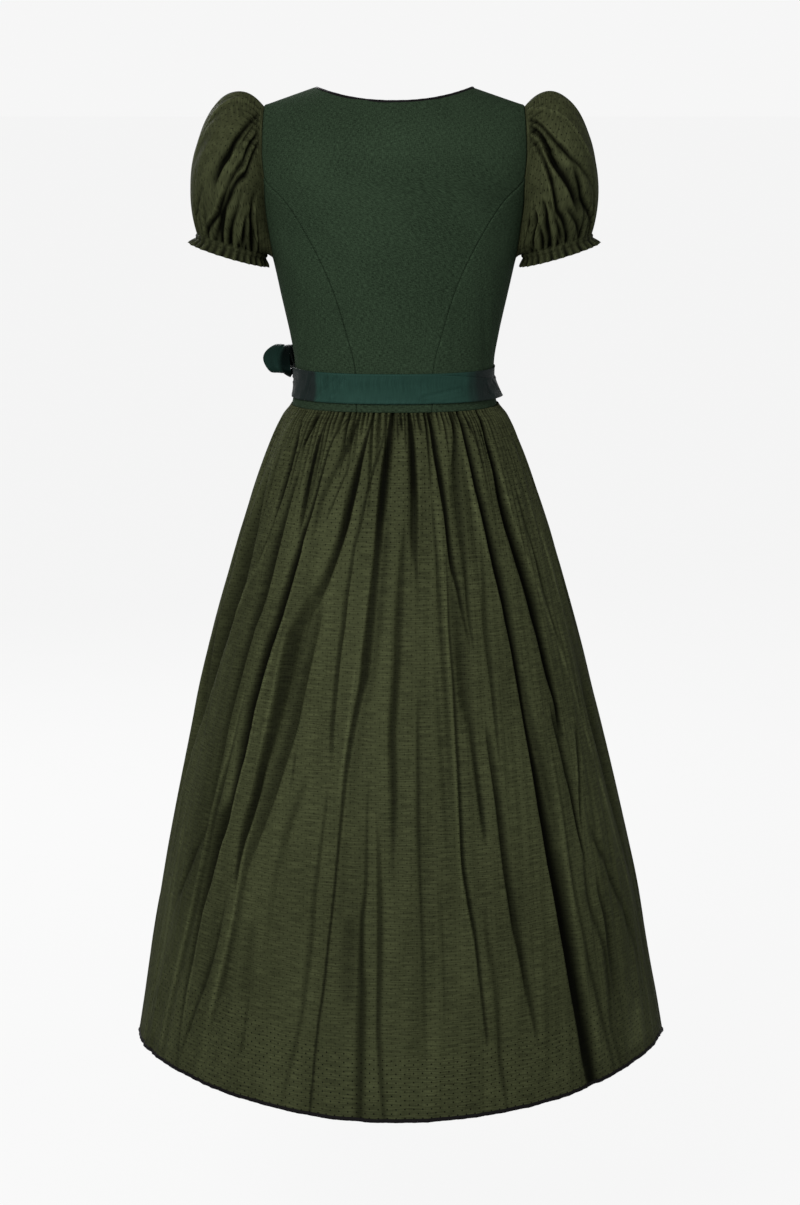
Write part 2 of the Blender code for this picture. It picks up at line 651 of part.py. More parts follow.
def knot_frame():
    """Middle of the knot and its directions: along the waist, out, up."""
    angle = math.radians(KNOT_ANGLE)
    z = (RIBBON_TOP_Z + RIBBON_BOTTOM_Z) / 2 - 0.001
    point = body_point(np.array([angle]), np.array([z]))[0]
    outer = body_point(np.array([angle]), np.array([z]), 0.001)[0]
    ahead = body_point(np.array([angle + 0.02]), np.array([z]))[0]
    behind = body_point(np.array([angle - 0.02]), np.array([z]))[0]
    along = unit(ahead - behind)
    up = np.array([0.0, 0.0, 1.0])
    out = unit(np.cross(along, up))
    if np.dot(out, outer - point) < 0:
        out = -out
    return point + out * (0.0036 + KNOT_HALF_SIZE[1]), along, out, up


def make_knot(ribbon):
    middle, along, out, up = knot_frame()
    rows, columns = 7, 12
    points = [middle + up * KNOT_HALF_SIZE[2]]
    for r in range(1, rows):
        lift = math.pi * r / rows
        for c in range(columns):
            turn = 2 * math.pi * c / columns
            flat = abs(math.sin(lift)) ** 0.6
            a = flat * signed_power(math.cos(turn), 0.8) * KNOT_HALF_SIZE[0]
            b = flat * signed_power(math.sin(turn), 0.8) * KNOT_HALF_SIZE[1]
            c_up = signed_power(math.cos(lift), 0.8) * KNOT_HALF_SIZE[2]
            points.append(middle + along * a + out * b + up * c_up)
    points.append(middle - up * KNOT_HALF_SIZE[2])
    faces = []
    for c in range(columns):
        d = (c + 1) % columns
        faces.append((0, 1 + c, 1 + d))
        for r in range(rows - 2):
            a = 1 + r * columns
            faces += [(a + c, a + columns + c, a + columns + d), (a + c, a + columns + d, a + d)]
        base = 1 + (rows - 2) * columns
        faces.append((base + c, len(points) - 1, base + d))
    mesh_object("bow_knot", np.array(points), faces, ribbon)


def make_loop(name, reach, opening, width, upright, root, ribbon):
    """One loop of the bow: a strip that leaves the knot, turns and comes back to it."""
    middle, along, out, up = knot_frame()
    reach = np.array(reach)
    direction = unit(reach)
    length = float(np.linalg.norm(reach))
    across = up if upright else out
    across = unit(across - direction * np.dot(across, direction))
    wide = unit(np.cross(direction, across))
    side = np.sign(np.dot(direction, along))
    root = middle + along * side * (KNOT_HALF_SIZE[0] + root[0]) + out * root[1]
    count = 18
    grid = []
    for k in range(count + 1):
        s = k / count
        far = length * (1 - math.cos(2 * math.pi * s)) / 2
        rise = opening / 2 * math.sin(2 * math.pi * s) * (0.35 + 0.65 * far / length)
        rise += 0.0022 * math.cos(math.pi * s)
        swell = max(0.0, math.sin(math.pi * s)) ** 1.5
        half = 0.006 + (width / 2 - 0.006) * swell
        centre = root + direction * far + across * rise
        grid.append([centre + wide * half * v for v in (-1.0, -0.35, 0.35, 1.0)])
    grid = np.array(grid)
    wall_object(name, grid, RIBBON_CLOTH, ribbon, centre=root + direction * length / 2)


def make_tail(name, start, end, length, ribbon):
    """A hanging end of the bow, made from the skirt's points moved out over the apron."""
    rows = np.linspace(0.0, 1.0, 10)
    grid = []
    for s in rows:
        z = TAIL_TOP_Z - s * length
        t = max(0.0, (WAIST_Z - z) / (WAIST_Z - HEM_Z))
        half, back, front, shift = skirt_radii(t)
        middle = start + (end - start) * s ** 0.6
        ribbon_half = 0.0036 + 0.0124 * min(1.0, s / 0.42)
        spread = math.degrees(ribbon_half / ((half + front) / 2))
        angles = middle + spread * np.array([-1.0, -0.4, 0.4, 1.0])
        ripple = 0.0006 * (1.0 + math.sin(9.0 * s + start))
        row = skirt_points(angles, t, 0.0, TAIL_CLEARANCE + ripple)
        row[:, 2] = z - 0.004 * np.array([0.0, 0.4, 0.6, 1.0]) * s
        grid.append(row)
    wall_object(name, np.array(grid), RIBBON_CLOTH, ribbon)


def make_bow(ribbon):
    make_knot(ribbon)
    for name, reach, opening, width, upright, root in BOW_LOOPS:
        make_loop(name, reach, opening, width, upright, root, ribbon)
    for name, start, end, length in BOW_TAILS:
        make_tail(name, start, end, length, ribbon)


# ---- sleeves -----------------------------------------------------------------------------------

def armhole_ring(grids):
    """Points of the right armhole from the shoulder down the back, under the arm and up the front."""
    back = grids["bodice_back_centre"]
    side_back = grids["bodice_side_back_right"]
    side_front = grids["bodice_side_front_right"]
    front = grids["bodice_front_right"]
    walk = []
    for (grid, normals), pick in (
        (back, [(r, -1) for r in range(len(BACK_ROWS) - 1, CORNER_ROW, -1) if r != len(BACK_ROWS) - 2]),
        (side_back, [(-1, c) for c in range(len(ARMHOLE_CURVE))]),
        (side_front, [(-1, c) for c in range(len(ARMHOLE_CURVE) - 2, -1, -1)]),
        (front, [(r, -1) for r in range(CORNER_ROW + 1, len(FRONT_ROWS) - 2)]),
    ):
        walk += [(grid[r, c], normals[r, c]) for r, c in pick]
    points = np.array([p for p, n in walk])
    normals = np.array([n for p, n in walk])
    return points, normals


def sleeve_turns(points):
    """How far round the sleeve each armhole point is: 0 outer, 180 underarm, 360 outer again."""
    lowest = int(np.argmin(points[:, 2]))
    gaps = np.linalg.norm(np.roll(points, -1, axis=0) - points, axis=1)
    run = np.concatenate([[0.0], np.cumsum(gaps)])
    turns = np.empty(len(points))
    turns[: lowest + 1] = 180.0 * run[: lowest + 1] / run[lowest]
    turns[lowest:] = 180.0 + 180.0 * (run[lowest:-1] - run[lowest]) / (run[-1] - run[lowest])
    return turns


def puff_pull(turn, which):
    """The pull at this turn; the front mirrors the back."""
    folded = turn if turn <= 180.0 else 360.0 - turn
    levels = np.array([row[0] for row in PUFF_PULL])
    values = [smooth_values(levels, np.array([row[which][k] for row in PUFF_PULL]), folded) for k in range(3)]
    if turn > 180.0:
        values[1] = -values[1]
    return np.array([float(v) for v in values])


def limited(vector, length):
    return vector * min(1.0, length / max(1e-9, float(np.linalg.norm(vector))))


def cuff_point(turn, along, grow):
    """A point of the cuff ring, moved along the arm and out from its axis."""
    tilt = math.radians(CUFF_TILT)
    a = math.radians(turn)
    sideways = np.array([math.cos(tilt), 0.0, math.sin(tilt)])
    axis = np.array([math.sin(tilt), 0.0, -math.cos(tilt)])
    point = np.array(CUFF_CENTRE) + axis * along
    point = point + sideways * (CUFF_RADIUS[0] + grow) * math.cos(a)
    return point + np.array([0.0, 1.0, 0.0]) * (CUFF_RADIUS[1] + grow) * math.sin(a)


def sleeve_grid(grids):
    """The left sleeve's outer face: armhole, puff, casing and frill."""
    flip = np.array([-1.0, 1.0, 1.0])
    points, normals = armhole_ring(grids)
    points = points * flip
    normals = normals * flip
    tangent = unit(np.roll(points, -1, axis=0) - np.roll(points, 1, axis=0))
    away = unit(np.cross(tangent, normals))
    away = away * np.sign(np.sum(away * (np.array([0.30, 0.0, -0.11]) - points), axis=1, keepdims=True))
    starts = points + away * 0.0007 + normals * 0.0002
    turns = sleeve_turns(points)
    next_turns = np.concatenate([turns[1:], [360.0]])
    starts = np.stack([starts, (starts + np.roll(starts, -1, axis=0)) / 2], axis=1).reshape(-1, 3)
    turns = np.stack([turns, (turns + next_turns) / 2], axis=1).reshape(-1)
    grid = []
    for t in PUFF_ROWS:
        row = []
        for start, turn in zip(starts, turns):
            end = cuff_point(turn, 0.0, 0.0)
            span = float(np.linalg.norm(end - start))
            limit = PUFF_LIMIT * span * min(1.0, span / 0.05)
            first = start + limited(puff_pull(turn, 1), limit)
            second = end + limited(puff_pull(turn, 2), limit)
            u = 1 - t
            row.append(u ** 3 * start + 3 * u * u * t * first + 3 * u * t * t * second + t ** 3 * end)
        grid.append(row)
    for along, grow in ((CASING_LENGTH, -0.0006), (CASING_LENGTH + FRILL_LENGTH, FRILL_FLARE)):
        grid.append([cuff_point(turn, along, grow) for turn in turns])
    return np.array(grid), turns


def gathered(grid, turns):
    """Sleeve points with the gathers pressed in on every second column."""
    centre = grid.mean(axis=1, keepdims=True)
    normals = grid_normals(grid, True, centre)
    rows = list(PUFF_ROWS)
    press = np.zeros(grid.shape[:2])
    for r, t in enumerate(rows):
        depth = float(smooth_table(GATHER_DEPTH, t, 1))
        for c in range(grid.shape[1]):
            weight = GATHER_WEIGHTS[(c // 2) % len(GATHER_WEIGHTS)]
            folded = min(turns[c], 360.0 - turns[c])
            room = min(1.0, max(0.0, (150.0 - folded) / 60.0))
            press[r, c] = depth * weight * room * (1.0 if c % 2 == 0 else -0.25)
    for c in range(grid.shape[1]):
        press[-1, c] = 0.0022 * (1.0 if c % 2 == 0 else -1.0)
        press[-2, c] = 0.0006 * (1.0 if c % 2 == 0 else -1.0)
    return grid - normals * press[..., None]


def make_sleeves(grids, cotton):
    grid, turns = sleeve_grid(grids)
    grid = gathered(grid, turns)
    normals = grid_normals(grid, True, grid.mean(axis=1, keepdims=True))
    under = np.clip((np.minimum(turns, 360.0 - turns) - 95.0) / 40.0, 0.0, 1.0)[:, None]
    for r in range(3):
        normals[r] = unit((1 - under) * normals[r] + under * normals[3])
    mirror = np.array([-1.0, 1.0, 1.0])
    wall_object("sleeve_left", grid, CLOTH, cotton, closed=True, normals=normals)
    wall_object("sleeve_right", grid * mirror, CLOTH, cotton, closed=True, normals=normals * mirror)


# ---- the dress ---------------------------------------------------------------------------------

def main():
    clear_scene()
    linen = make_material("bodice_linen")
    cotton = make_material("skirt_cotton")
    trim = make_material("black_trim")
    ribbon = make_material("shot_ribbon")
    grids = make_bodice(linen, trim)
    make_sleeves(grids, cotton)
    make_skirt(cotton, trim)
    make_apron(cotton, ribbon)
    make_ribbon(ribbon)
    make_bow(ribbon)


main()
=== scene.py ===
"""Dirndl dress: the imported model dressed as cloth, with its light, floor and camera.

Metres, +Z up, the front faces -Y. Angles are counted from centre back and grow towards the
wearer's right side (-X), so the left side is -90 degrees and centre front is 180 degrees.
"""
import math

import bpy
import numpy as np
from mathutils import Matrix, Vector


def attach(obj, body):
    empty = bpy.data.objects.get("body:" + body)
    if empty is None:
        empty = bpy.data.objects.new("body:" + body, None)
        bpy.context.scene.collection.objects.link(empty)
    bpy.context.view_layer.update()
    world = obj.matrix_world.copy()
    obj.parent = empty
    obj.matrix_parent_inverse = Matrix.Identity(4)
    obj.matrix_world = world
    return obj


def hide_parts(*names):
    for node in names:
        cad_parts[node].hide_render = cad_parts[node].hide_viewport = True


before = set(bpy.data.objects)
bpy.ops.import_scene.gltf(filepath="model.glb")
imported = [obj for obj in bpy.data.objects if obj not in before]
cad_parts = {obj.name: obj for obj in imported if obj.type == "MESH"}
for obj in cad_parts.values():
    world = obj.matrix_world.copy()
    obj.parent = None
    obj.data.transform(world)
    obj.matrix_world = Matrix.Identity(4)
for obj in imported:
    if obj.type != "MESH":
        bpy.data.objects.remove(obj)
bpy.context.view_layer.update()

# ---- named sizes ---------------------------------------------------------------------------------

CLOTH = 0.0014
SEAM_GAP = 0.0003
WAIST_Z = -0.3815
HEM_Z = -1.185
BINDING_HEIGHT = 0.0042
NECK_HALF = 0.0947
SHOULDER_HALF = 0.1567
SHOULDER_SLOPE = 0.347
SHOULDER_Y = 0.005
SHOULDER_ROUND = 0.120
SHOULDER_POWERS = (2.4, 0.75)
BACK_NECK_DROP = 0.0155
FRONT_NECK_DROP = 0.138
BACK_NECK_POWER = 2.2
FRONT_NECK_POWER = 2.8
SQUARENESS = 0.87
UNDERARM_Z = -0.205
PIPING_RADIUS = 0.0011
PIPING_FLATNESS = 1.9
PIPING_UP = 0.0002
PIPING_OUT = 0.0004
RIBBON_TOP_Z = -0.3355
RIBBON_BOTTOM_Z = -0.3710
APRON_HALF_ANGLE = 64.0
APRON_CLEARANCE = 0.0027
APRON_WAIST_OUT = 0.0028
APRON_FOLD_SHARE = 0.80
FRONT_FOLD_SHARE = 0.48
KNOT_ANGLE = -129.0
KNOT_OVERLAP = 2.5
KNOT_HALF_SIZE = (0.0105, 0.0068, 0.0150)
KNOT_OUT = 0.0036
KNOT_DOWN = 0.001
TAIL_TOP_Z = -0.3698
TAIL_CLEARANCE = 0.0052

# z, half width, depth to the back, depth to the front
BODY_SECTIONS = (
    (-0.4200, 0.1290, 0.1030, 0.1060),
    (-0.3815, 0.1250, 0.0985, 0.1010),
    (-0.3550, 0.1207, 0.0955, 0.0985),
    (-0.3300, 0.1215, 0.0960, 0.1010),
    (-0.2970, 0.1268, 0.0980, 0.1070),
    (-0.2680, 0.1330, 0.1000, 0.1140),
    (-0.2480, 0.1376, 0.1010, 0.1190),
    (-0.2090, 0.1462, 0.1030, 0.1270),
    (-0.1700, 0.1570, 0.1050, 0.1280),
    (-0.1300, 0.1660, 0.1070, 0.1240),
    (-0.0900, 0.1705, 0.1080, 0.1160),
    (-0.0500, 0.1715, 0.1070, 0.1080),
    (0.0400, 0.1715, 0.1050, 0.1030),
)

# z, distance of the panel's outer edge from the middle (seam below the corner, armhole above)
BACK_EDGE = (
    (-0.3815, 0.0450),
    (-0.3370, 0.0462),
    (-0.2840, 0.0583),
    (-0.2300, 0.0757),
    (-0.1600, 0.1112),
    (-0.1300, 0.1325),
    (-0.1050, 0.1560),
    (-0.0750, 0.1588),
    (-0.0450, 0.1582),
    (-0.0215, 0.1567),
)
FRONT_EDGE = (
    (-0.3815, 0.0560),
    (-0.3370, 0.0590),
    (-0.2840, 0.0690),
    (-0.2200, 0.0840),
    (-0.1700, 0.1050),
    (-0.1400, 0.1250),
    (-0.1150, 0.1475),
    (-0.0850, 0.1480),
    (-0.0500, 0.1520),
    (-0.0215, 0.1567),
)
# heights of the rows along each panel's outer edge
LOW_ROWS = (-0.3815, -0.370, -0.355, -0.336, -0.300, -0.262)
BACK_ROWS = LOW_ROWS + (-0.222, -0.182, -0.142, -0.105, -0.080, -0.056, -0.038, -0.0275, -0.0225, -0.0215)
FRONT_ROWS = LOW_ROWS + (-0.224, -0.187, -0.150, -0.115, -0.086, -0.059, -0.039, -0.0275, -0.0225, -0.0215)
CORNER_ROW = 9
LEVEL_ROW = 7
# share of the way from the corner round to the side seam, share of the drop to the underarm
ARMHOLE_CURVE = ((0.0, 0.0), (0.16, 0.36), (0.32, 0.66), (0.52, 0.87), (0.75, 0.97), (1.0, 1.0))

# z, half width, depth to the back, depth to the front, shift of the middle
SKIRT_SECTIONS = (
    (-0.3600, 0.1215, 0.0960, 0.0990, -0.0007),
    (-0.3815, 0.1272, 0.1000, 0.1030, -0.0007),
    (-0.3950, 0.1372, 0.1095, 0.1130, -0.0007),
    (-0.4270, 0.1518, 0.1250, 0.1300, -0.0007),
    (-0.4770, 0.1707, 0.1440, 0.1500, -0.0007),
    (-0.5270, 0.1872, 0.1620, 0.1680, -0.0007),
    (-0.6020, 0.2092, 0.1870, 0.1930, -0.0007),
    (-0.6780, 0.2310, 0.2120, 0.2180, -0.0010),
    (-0.7290, 0.2434, 0.2260, 0.2320, -0.0013),
    (-0.8060, 0.2613, 0.2480, 0.2530, -0.0031),
    (-0.8840, 0.2787, 0.2680, 0.2720, -0.0044),
    (-0.9880, 0.2997, 0.2930, 0.2960, -0.0062),
    (-1.0930, 0.3172, 0.3150, 0.3160, -0.0069),
    (-1.1850, 0.3325, 0.3320, 0.3320, -0.0075),
)

# angle from the middle of the width (to the right at the back), how far the hem rides up there
HEM_LIFT = (
    (-90.0, 0.0),
    (-76.0, 0.0105),
    (-60.0, 0.0135),
    (-45.0, 0.0110),
    (-30.0, 0.0060),
    (-12.0, 0.0),
    (0.0, -0.0010),
    (12.0, 0.0010),
    (30.0, 0.0060),
    (45.0, 0.0115),
    (60.0, 0.0175),
    (76.0, 0.0160),
    (90.0, 0.0),
)

# sleeve: the cuff ring, and the pull of the puff at the armhole and at the cuff
CUFF_CENTRE = (0.1965, 0.002, -0.1865)
CUFF_RADIUS = (0.0452, 0.0520)
CUFF_TILT = 16.7
# turn (0 outer, 90 back, 180 underarm), pull (out, back, up) at the armhole and at the cuff
PUFF_PULL = (
    (0.0, (0.052, 0.000, 0.0640), (0.027, 0.000, 0.088)),
    (45.0, (0.046, 0.026, 0.0470), (0.021, 0.024, 0.081)),
    (90.0, (0.026, 0.042, 0.0140), (0.000, 0.036, 0.062)),
    (135.0, (0.007, 0.018, 0.0030), (-0.004, 0.012, 0.022)),
    (180.0, (0.002, 0.000, 0.0045), (-0.001, 0.000, 0.0045)),
)
PUFF_LIMIT = 0.62

# angle, how far the outer ribbon's top edge sits below the inner one's, how far it stands out
RIBBON_SLIP = (
    (-132.0, 0.0, 0.0),
    (10.0, 0.0, 0.0),
    (35.0, 0.0040, 0.0002),
    (60.0, 0.0090, 0.0018),
    (90.0, 0.0140, 0.0062),
    (130.0, 0.0100, 0.0014),
    (180.0, 0.0030, 0.0),
    (232.0, 0.0, 0.0),
)
# name, reach (left, back, up) from the knot, height of the opening, width of the ribbon at the tip,
# whether the opening stands upright, where it leaves the knot (along, out)
BOW_LOOPS = (
    ("bow_loop_back", (0.029, 0.048, 0.028), 0.058, 0.030, True, (0.0021, 0.0055)),
    ("bow_loop_front", (-0.050, -0.056, 0.006), 0.026, 0.033, False, (0.0006, 0.0010)),
)
# name, angle at the knot, angle at the end, length down the skirt
BOW_TAILS = (
    ("bow_tail_back", -127.2, -117.0, 0.290),
    ("bow_tail_front", -130.8, -139.0, 0.267),
)


# ---- finer sizes, for the look only --------------------------------------------------------------

# points that tell inside from outside: within the dress, above the neck, beside the left sleeve
BODY_MIDDLE = (0.0, 0.0, -0.3)
ABOVE_NECK = (0.0, 0.02, 0.06)
BESIDE_SLEEVE = (0.30, 0.0, -0.11)
# thickness of the cloth shells
SKIRT_SHELL = 0.0008
BODICE_SHELL = 0.0009
SLEEVE_SHELL = 0.0007
APRON_SHELL = 0.0007
RIBBON_SHELL = 0.0005
# rows and columns of the cloth grids
PANEL_ROWS = 84
BACK_PANEL_COLUMNS = 140
FRONT_PANEL_COLUMNS = 74
SIDE_PANEL_ROWS = 70
SIDE_PANEL_COLUMNS = 44
PIPING_SIDES = 12
SKIRT_TOP_ROWS = 42
SKIRT_LOW_ROWS = 112
BACK_SKIRT_COLUMNS = 600
FRONT_SIDE_COLUMNS = 72
FRONT_MIDDLE_COLUMNS = 88
APRON_COLUMNS = 250
APRON_RISE_ROWS = 6
BAND_ROWS = 17
LOOP_ROWS, LOOP_COLUMNS = 91, 25
TAIL_ROWS, TAIL_COLUMNS = 130, 29
KNOT_ROWS, KNOT_COLUMNS = 44, 72
SLEEVE_ROWS, SLEEVE_COLUMNS = 80, 300
# bodice: how wide and deep the sewn edges roll in, how high, far from them and wide the cloth puffs
# beside them, how far from them its creases are whole, its unevenness and its mean radius
ROLL_WIDTH = 0.0014
ROLL_DEPTH = 0.00085
SEAM_PUFF = 0.0003
PUFF_PLACE = 0.0030
PUFF_WIDTH = 0.0022
SETTLE_WIDTH = 0.02
BODICE_WAVES = 0.00045
BODICE_RADIUS = 0.13
# skirt: share of its height with close rows, steepness and depth limit of the folds, narrowest
# crease in degrees on the back and on the front, how much painted shade the front's folds get,
# gathers to half a turn of the waist
SKIRT_TOP_SHARE = 0.16
FOLD_STEEPNESS = 1.5
FOLD_LIMIT = 0.026
BACK_FINEST = 0.1
FRONT_FINEST = 1.1
FRONT_FOLD_PAINTED_SHADE = 0.85
GATHER_COUNT = 68
# the front's columns lie close together from the side seam to this angle
FRONT_SIDE_END = 119.0
# apron: its length against the skirt's, and how wide its side hems and its hem are
APRON_SHARE = 0.93
APRON_SIDE_HEM = 0.012
APRON_HEM = 0.030
# ribbon: how far the inner and the outer turn stand out, metres round the waist to one degree, radius
INNER_RIBBON_OUT = 0.0016
OUTER_RIBBON_OUT = 0.0031
WAIST_DEGREE = 0.0021
WAIST_RADIUS = 0.11
# bow: how open the loops are, half their width at the knot, how far the upright loop slides over
# and how much wider and lower it is on the dress's side, half width of the ends at the top and what
# they gain downwards
LOOP_SWELL = 1.55
LOOP_ROOT_HALF = 0.006
LOOP_SLIDE = 0.012
LOOP_INNER_WIDER = 0.0075
LOOP_INNER_LOWER = 0.006
TAIL_TOP_HALF = 0.0036
TAIL_GAIN = 0.0124
# sleeves: gathers at the cuff, height of the ruffle's waves, brightness of the seam allowance,
# which is painted shade where it lies in the gap under the armhole's edge
CUFF_GATHERS = 30
RUFFLE_HEIGHT = 0.0015
SEAM_PAINTED_SHADE = 0.12


# ---- small tools ---------------------------------------------------------------------------------

def curve_values(xs, ys, tangent, at):
    """A curve through its points, with its slope at each given."""
    k = np.clip(np.searchsorted(xs, at, side="right") - 1, 0, len(xs) - 2)
    h = xs[k + 1] - xs[k]
    u = (at - xs[k]) / h
    first = (1 + 2 * u) * (1 - u) ** 2 * ys[k] + u * (1 - u) ** 2 * h * tangent[k]
    second = u * u * (3 - 2 * u) * ys[k + 1] + u * u * (u - 1) * h * tangent[k + 1]
    return first + second


def smooth_values(xs, ys, at):
    """A curve read smoothly between its points, with no overshoot."""
    step = np.diff(xs)
    slope = np.diff(ys) / step
    tangent = np.zeros(len(xs))
    tangent[0] = slope[0]
    tangent[-1] = slope[-1]
    for k in range(1, len(xs) - 1):
        if slope[k - 1] * slope[k] > 0:
            tangent[k] = 2 * slope[k - 1] * slope[k] / (slope[k - 1] + slope[k])
    return curve_values(xs, ys, tangent, np.clip(np.asarray(at, float), xs[0], xs[-1]))


def smooth_table(rows, at, column):
    """A column of a table read smoothly by its first column."""
    rows = sorted(rows, key=lambda row: row[0])
    xs = np.array([row[0] for row in rows], float)
    ys = np.array([row[column] for row in rows], float)
    return smooth_values(xs, ys, at)


def signed_power(value, power):
    """A power that keeps the sign."""
    return np.sign(value) * np.abs(value) ** power


def unit(vectors):
    """The vectors at length 1."""
    length = np.linalg.norm(vectors, axis=-1, keepdims=True)
    return vectors / np.maximum(length, 1e-12)


def bell(u):
    """1 at zero and one half at a half, falling away smoothly."""
    return 2.0 ** (-4.0 * u * u)


def step_up(low, high, value):
    """From 0 at low to 1 at high, with soft ends."""
    s = np.clip((value - low) / (high - low), 0.0, 1.0)
    return s * s * (3 - 2 * s)


def chance(number):
    """A fixed number from 0 to 1 for a whole number."""
    value = np.sin(np.asarray(number, float) * 12.9898 + 4.1) * 43758.5453
    return value - np.floor(value)


def uneven(a, b, seed, fine=1.0):
    """A soft irregular field of about -1 to 1."""
    total = 0.0
    for k in range(7):
        p, q, r = (float(chance(seed * 31 + k * 7 + j)) for j in range(3))
        total = total + np.sin(fine * (2.0 + 9.0 * p) * a + fine * (1.0 + 5.0 * q) * b + 6.28 * r)
    return total / 4.0


def run_along(grid, axis):
    """Distance travelled along the grid's lines."""
    gaps = np.linalg.norm(np.diff(grid, axis=axis), axis=-1)
    run = np.cumsum(gaps, axis=axis)
    pad = [(0, 0), (0, 0)]
    pad[axis] = (1, 0)
    return np.pad(run, pad)


def crowd(count, power=0.5):
    """Shares from 0 to 1 that lie closer together at both ends."""
    s = np.linspace(0.0, 1.0, count + 1)
    return power * (0.5 - 0.5 * np.cos(math.pi * s)) + (1 - power) * s


def grid_normals(grid, closed, centre):
    """Unit normals of a grid, pointing away from its centre."""
    if closed:
        along = np.roll(grid, -1, axis=1) - np.roll(grid, 1, axis=1)
    else:
        along = np.gradient(grid, axis=1)
    normals = unit(np.cross(along, np.gradient(grid, axis=0)))
    if np.sum(normals * (grid - centre)) < 0:
        normals = -normals
    return normals


def quads(corners, closed):
    """The four corner values of every face of a grid, shaped face by face."""
    if closed:
        after = np.roll(corners, -1, axis=1)
        parts = [corners[:-1], after[:-1], after[1:], corners[1:]]
    else:
        parts = [corners[:-1, :-1], corners[:-1, 1:], corners[1:, 1:], corners[1:, :-1]]
    return np.stack(parts, axis=2)


def cloth_marks(grid, closed):
    """Cloth coordinates of a grid, in metres along its rows and columns."""
    wide = close_up(grid) if closed else grid
    return np.stack([run_along(wide, 1), -run_along(wide, 0)], axis=-1)


def close_up(grid):
    """The grid with its first column once more at the end."""
    return np.concatenate([grid, grid[:, :1]], axis=1)


def cloth(name, grid, material, nodes, thick=SKIRT_SHELL, closed=False, uv=None,
          centre=BODY_MIDDLE, tone=1.0, dots=1.0):
    """A cloth shell: the grid is its outer face and the thickness lies inside it."""
    rows, columns = grid.shape[:2]
    faces = quads(np.arange(rows * columns).reshape(rows, columns), closed).reshape(-1, 4)
    uv = cloth_marks(grid, closed) if uv is None else uv
    marks = quads(uv, False).reshape(-1, 4, 2)
    points = grid.reshape(-1, 3)
    a, b, d = (points[faces[:, k]] for k in (0, 1, 3))
    middle = np.broadcast_to(centre, grid.shape).reshape(-1, 3)[faces[:, 0]]
    if np.sum(np.cross(b - a, d - a) * (a - middle)) < 0:
        faces = faces[:, ::-1]
        marks = marks[:, ::-1]
    mesh = bpy.data.meshes.new(name)
    mesh.from_pydata(points.tolist(), [], faces.tolist())
    layer = mesh.uv_layers.new(name="UVMap")
    layer.data.foreach_set("uv", marks.astype(np.float32).ravel())
    # tone: brightness with painted shade and light; dots: strength of the cotton's dots, or painted shade on
    # the bow's loops
    for title, values in (("tone", tone), ("dots", dots)):
        kept = mesh.attributes.new(title, "FLOAT", "POINT")
        kept.data.foreach_set("value", np.broadcast_to(values, (rows, columns)).astype(np.float32).ravel())
    mesh.shade_smooth()
    mesh.materials.append(material)
    thing = bpy.data.objects.new(name, mesh)
    bpy.context.scene.collection.objects.link(thing)
    if thick:
        wall = thing.modifiers.new("wall", "SOLIDIFY")
        wall.thickness = thick
        wall.offset = -1.0
    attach(thing, "root")
    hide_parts(*nodes)
    return thing


# ---- materials -----------------------------------------------------------------------------------

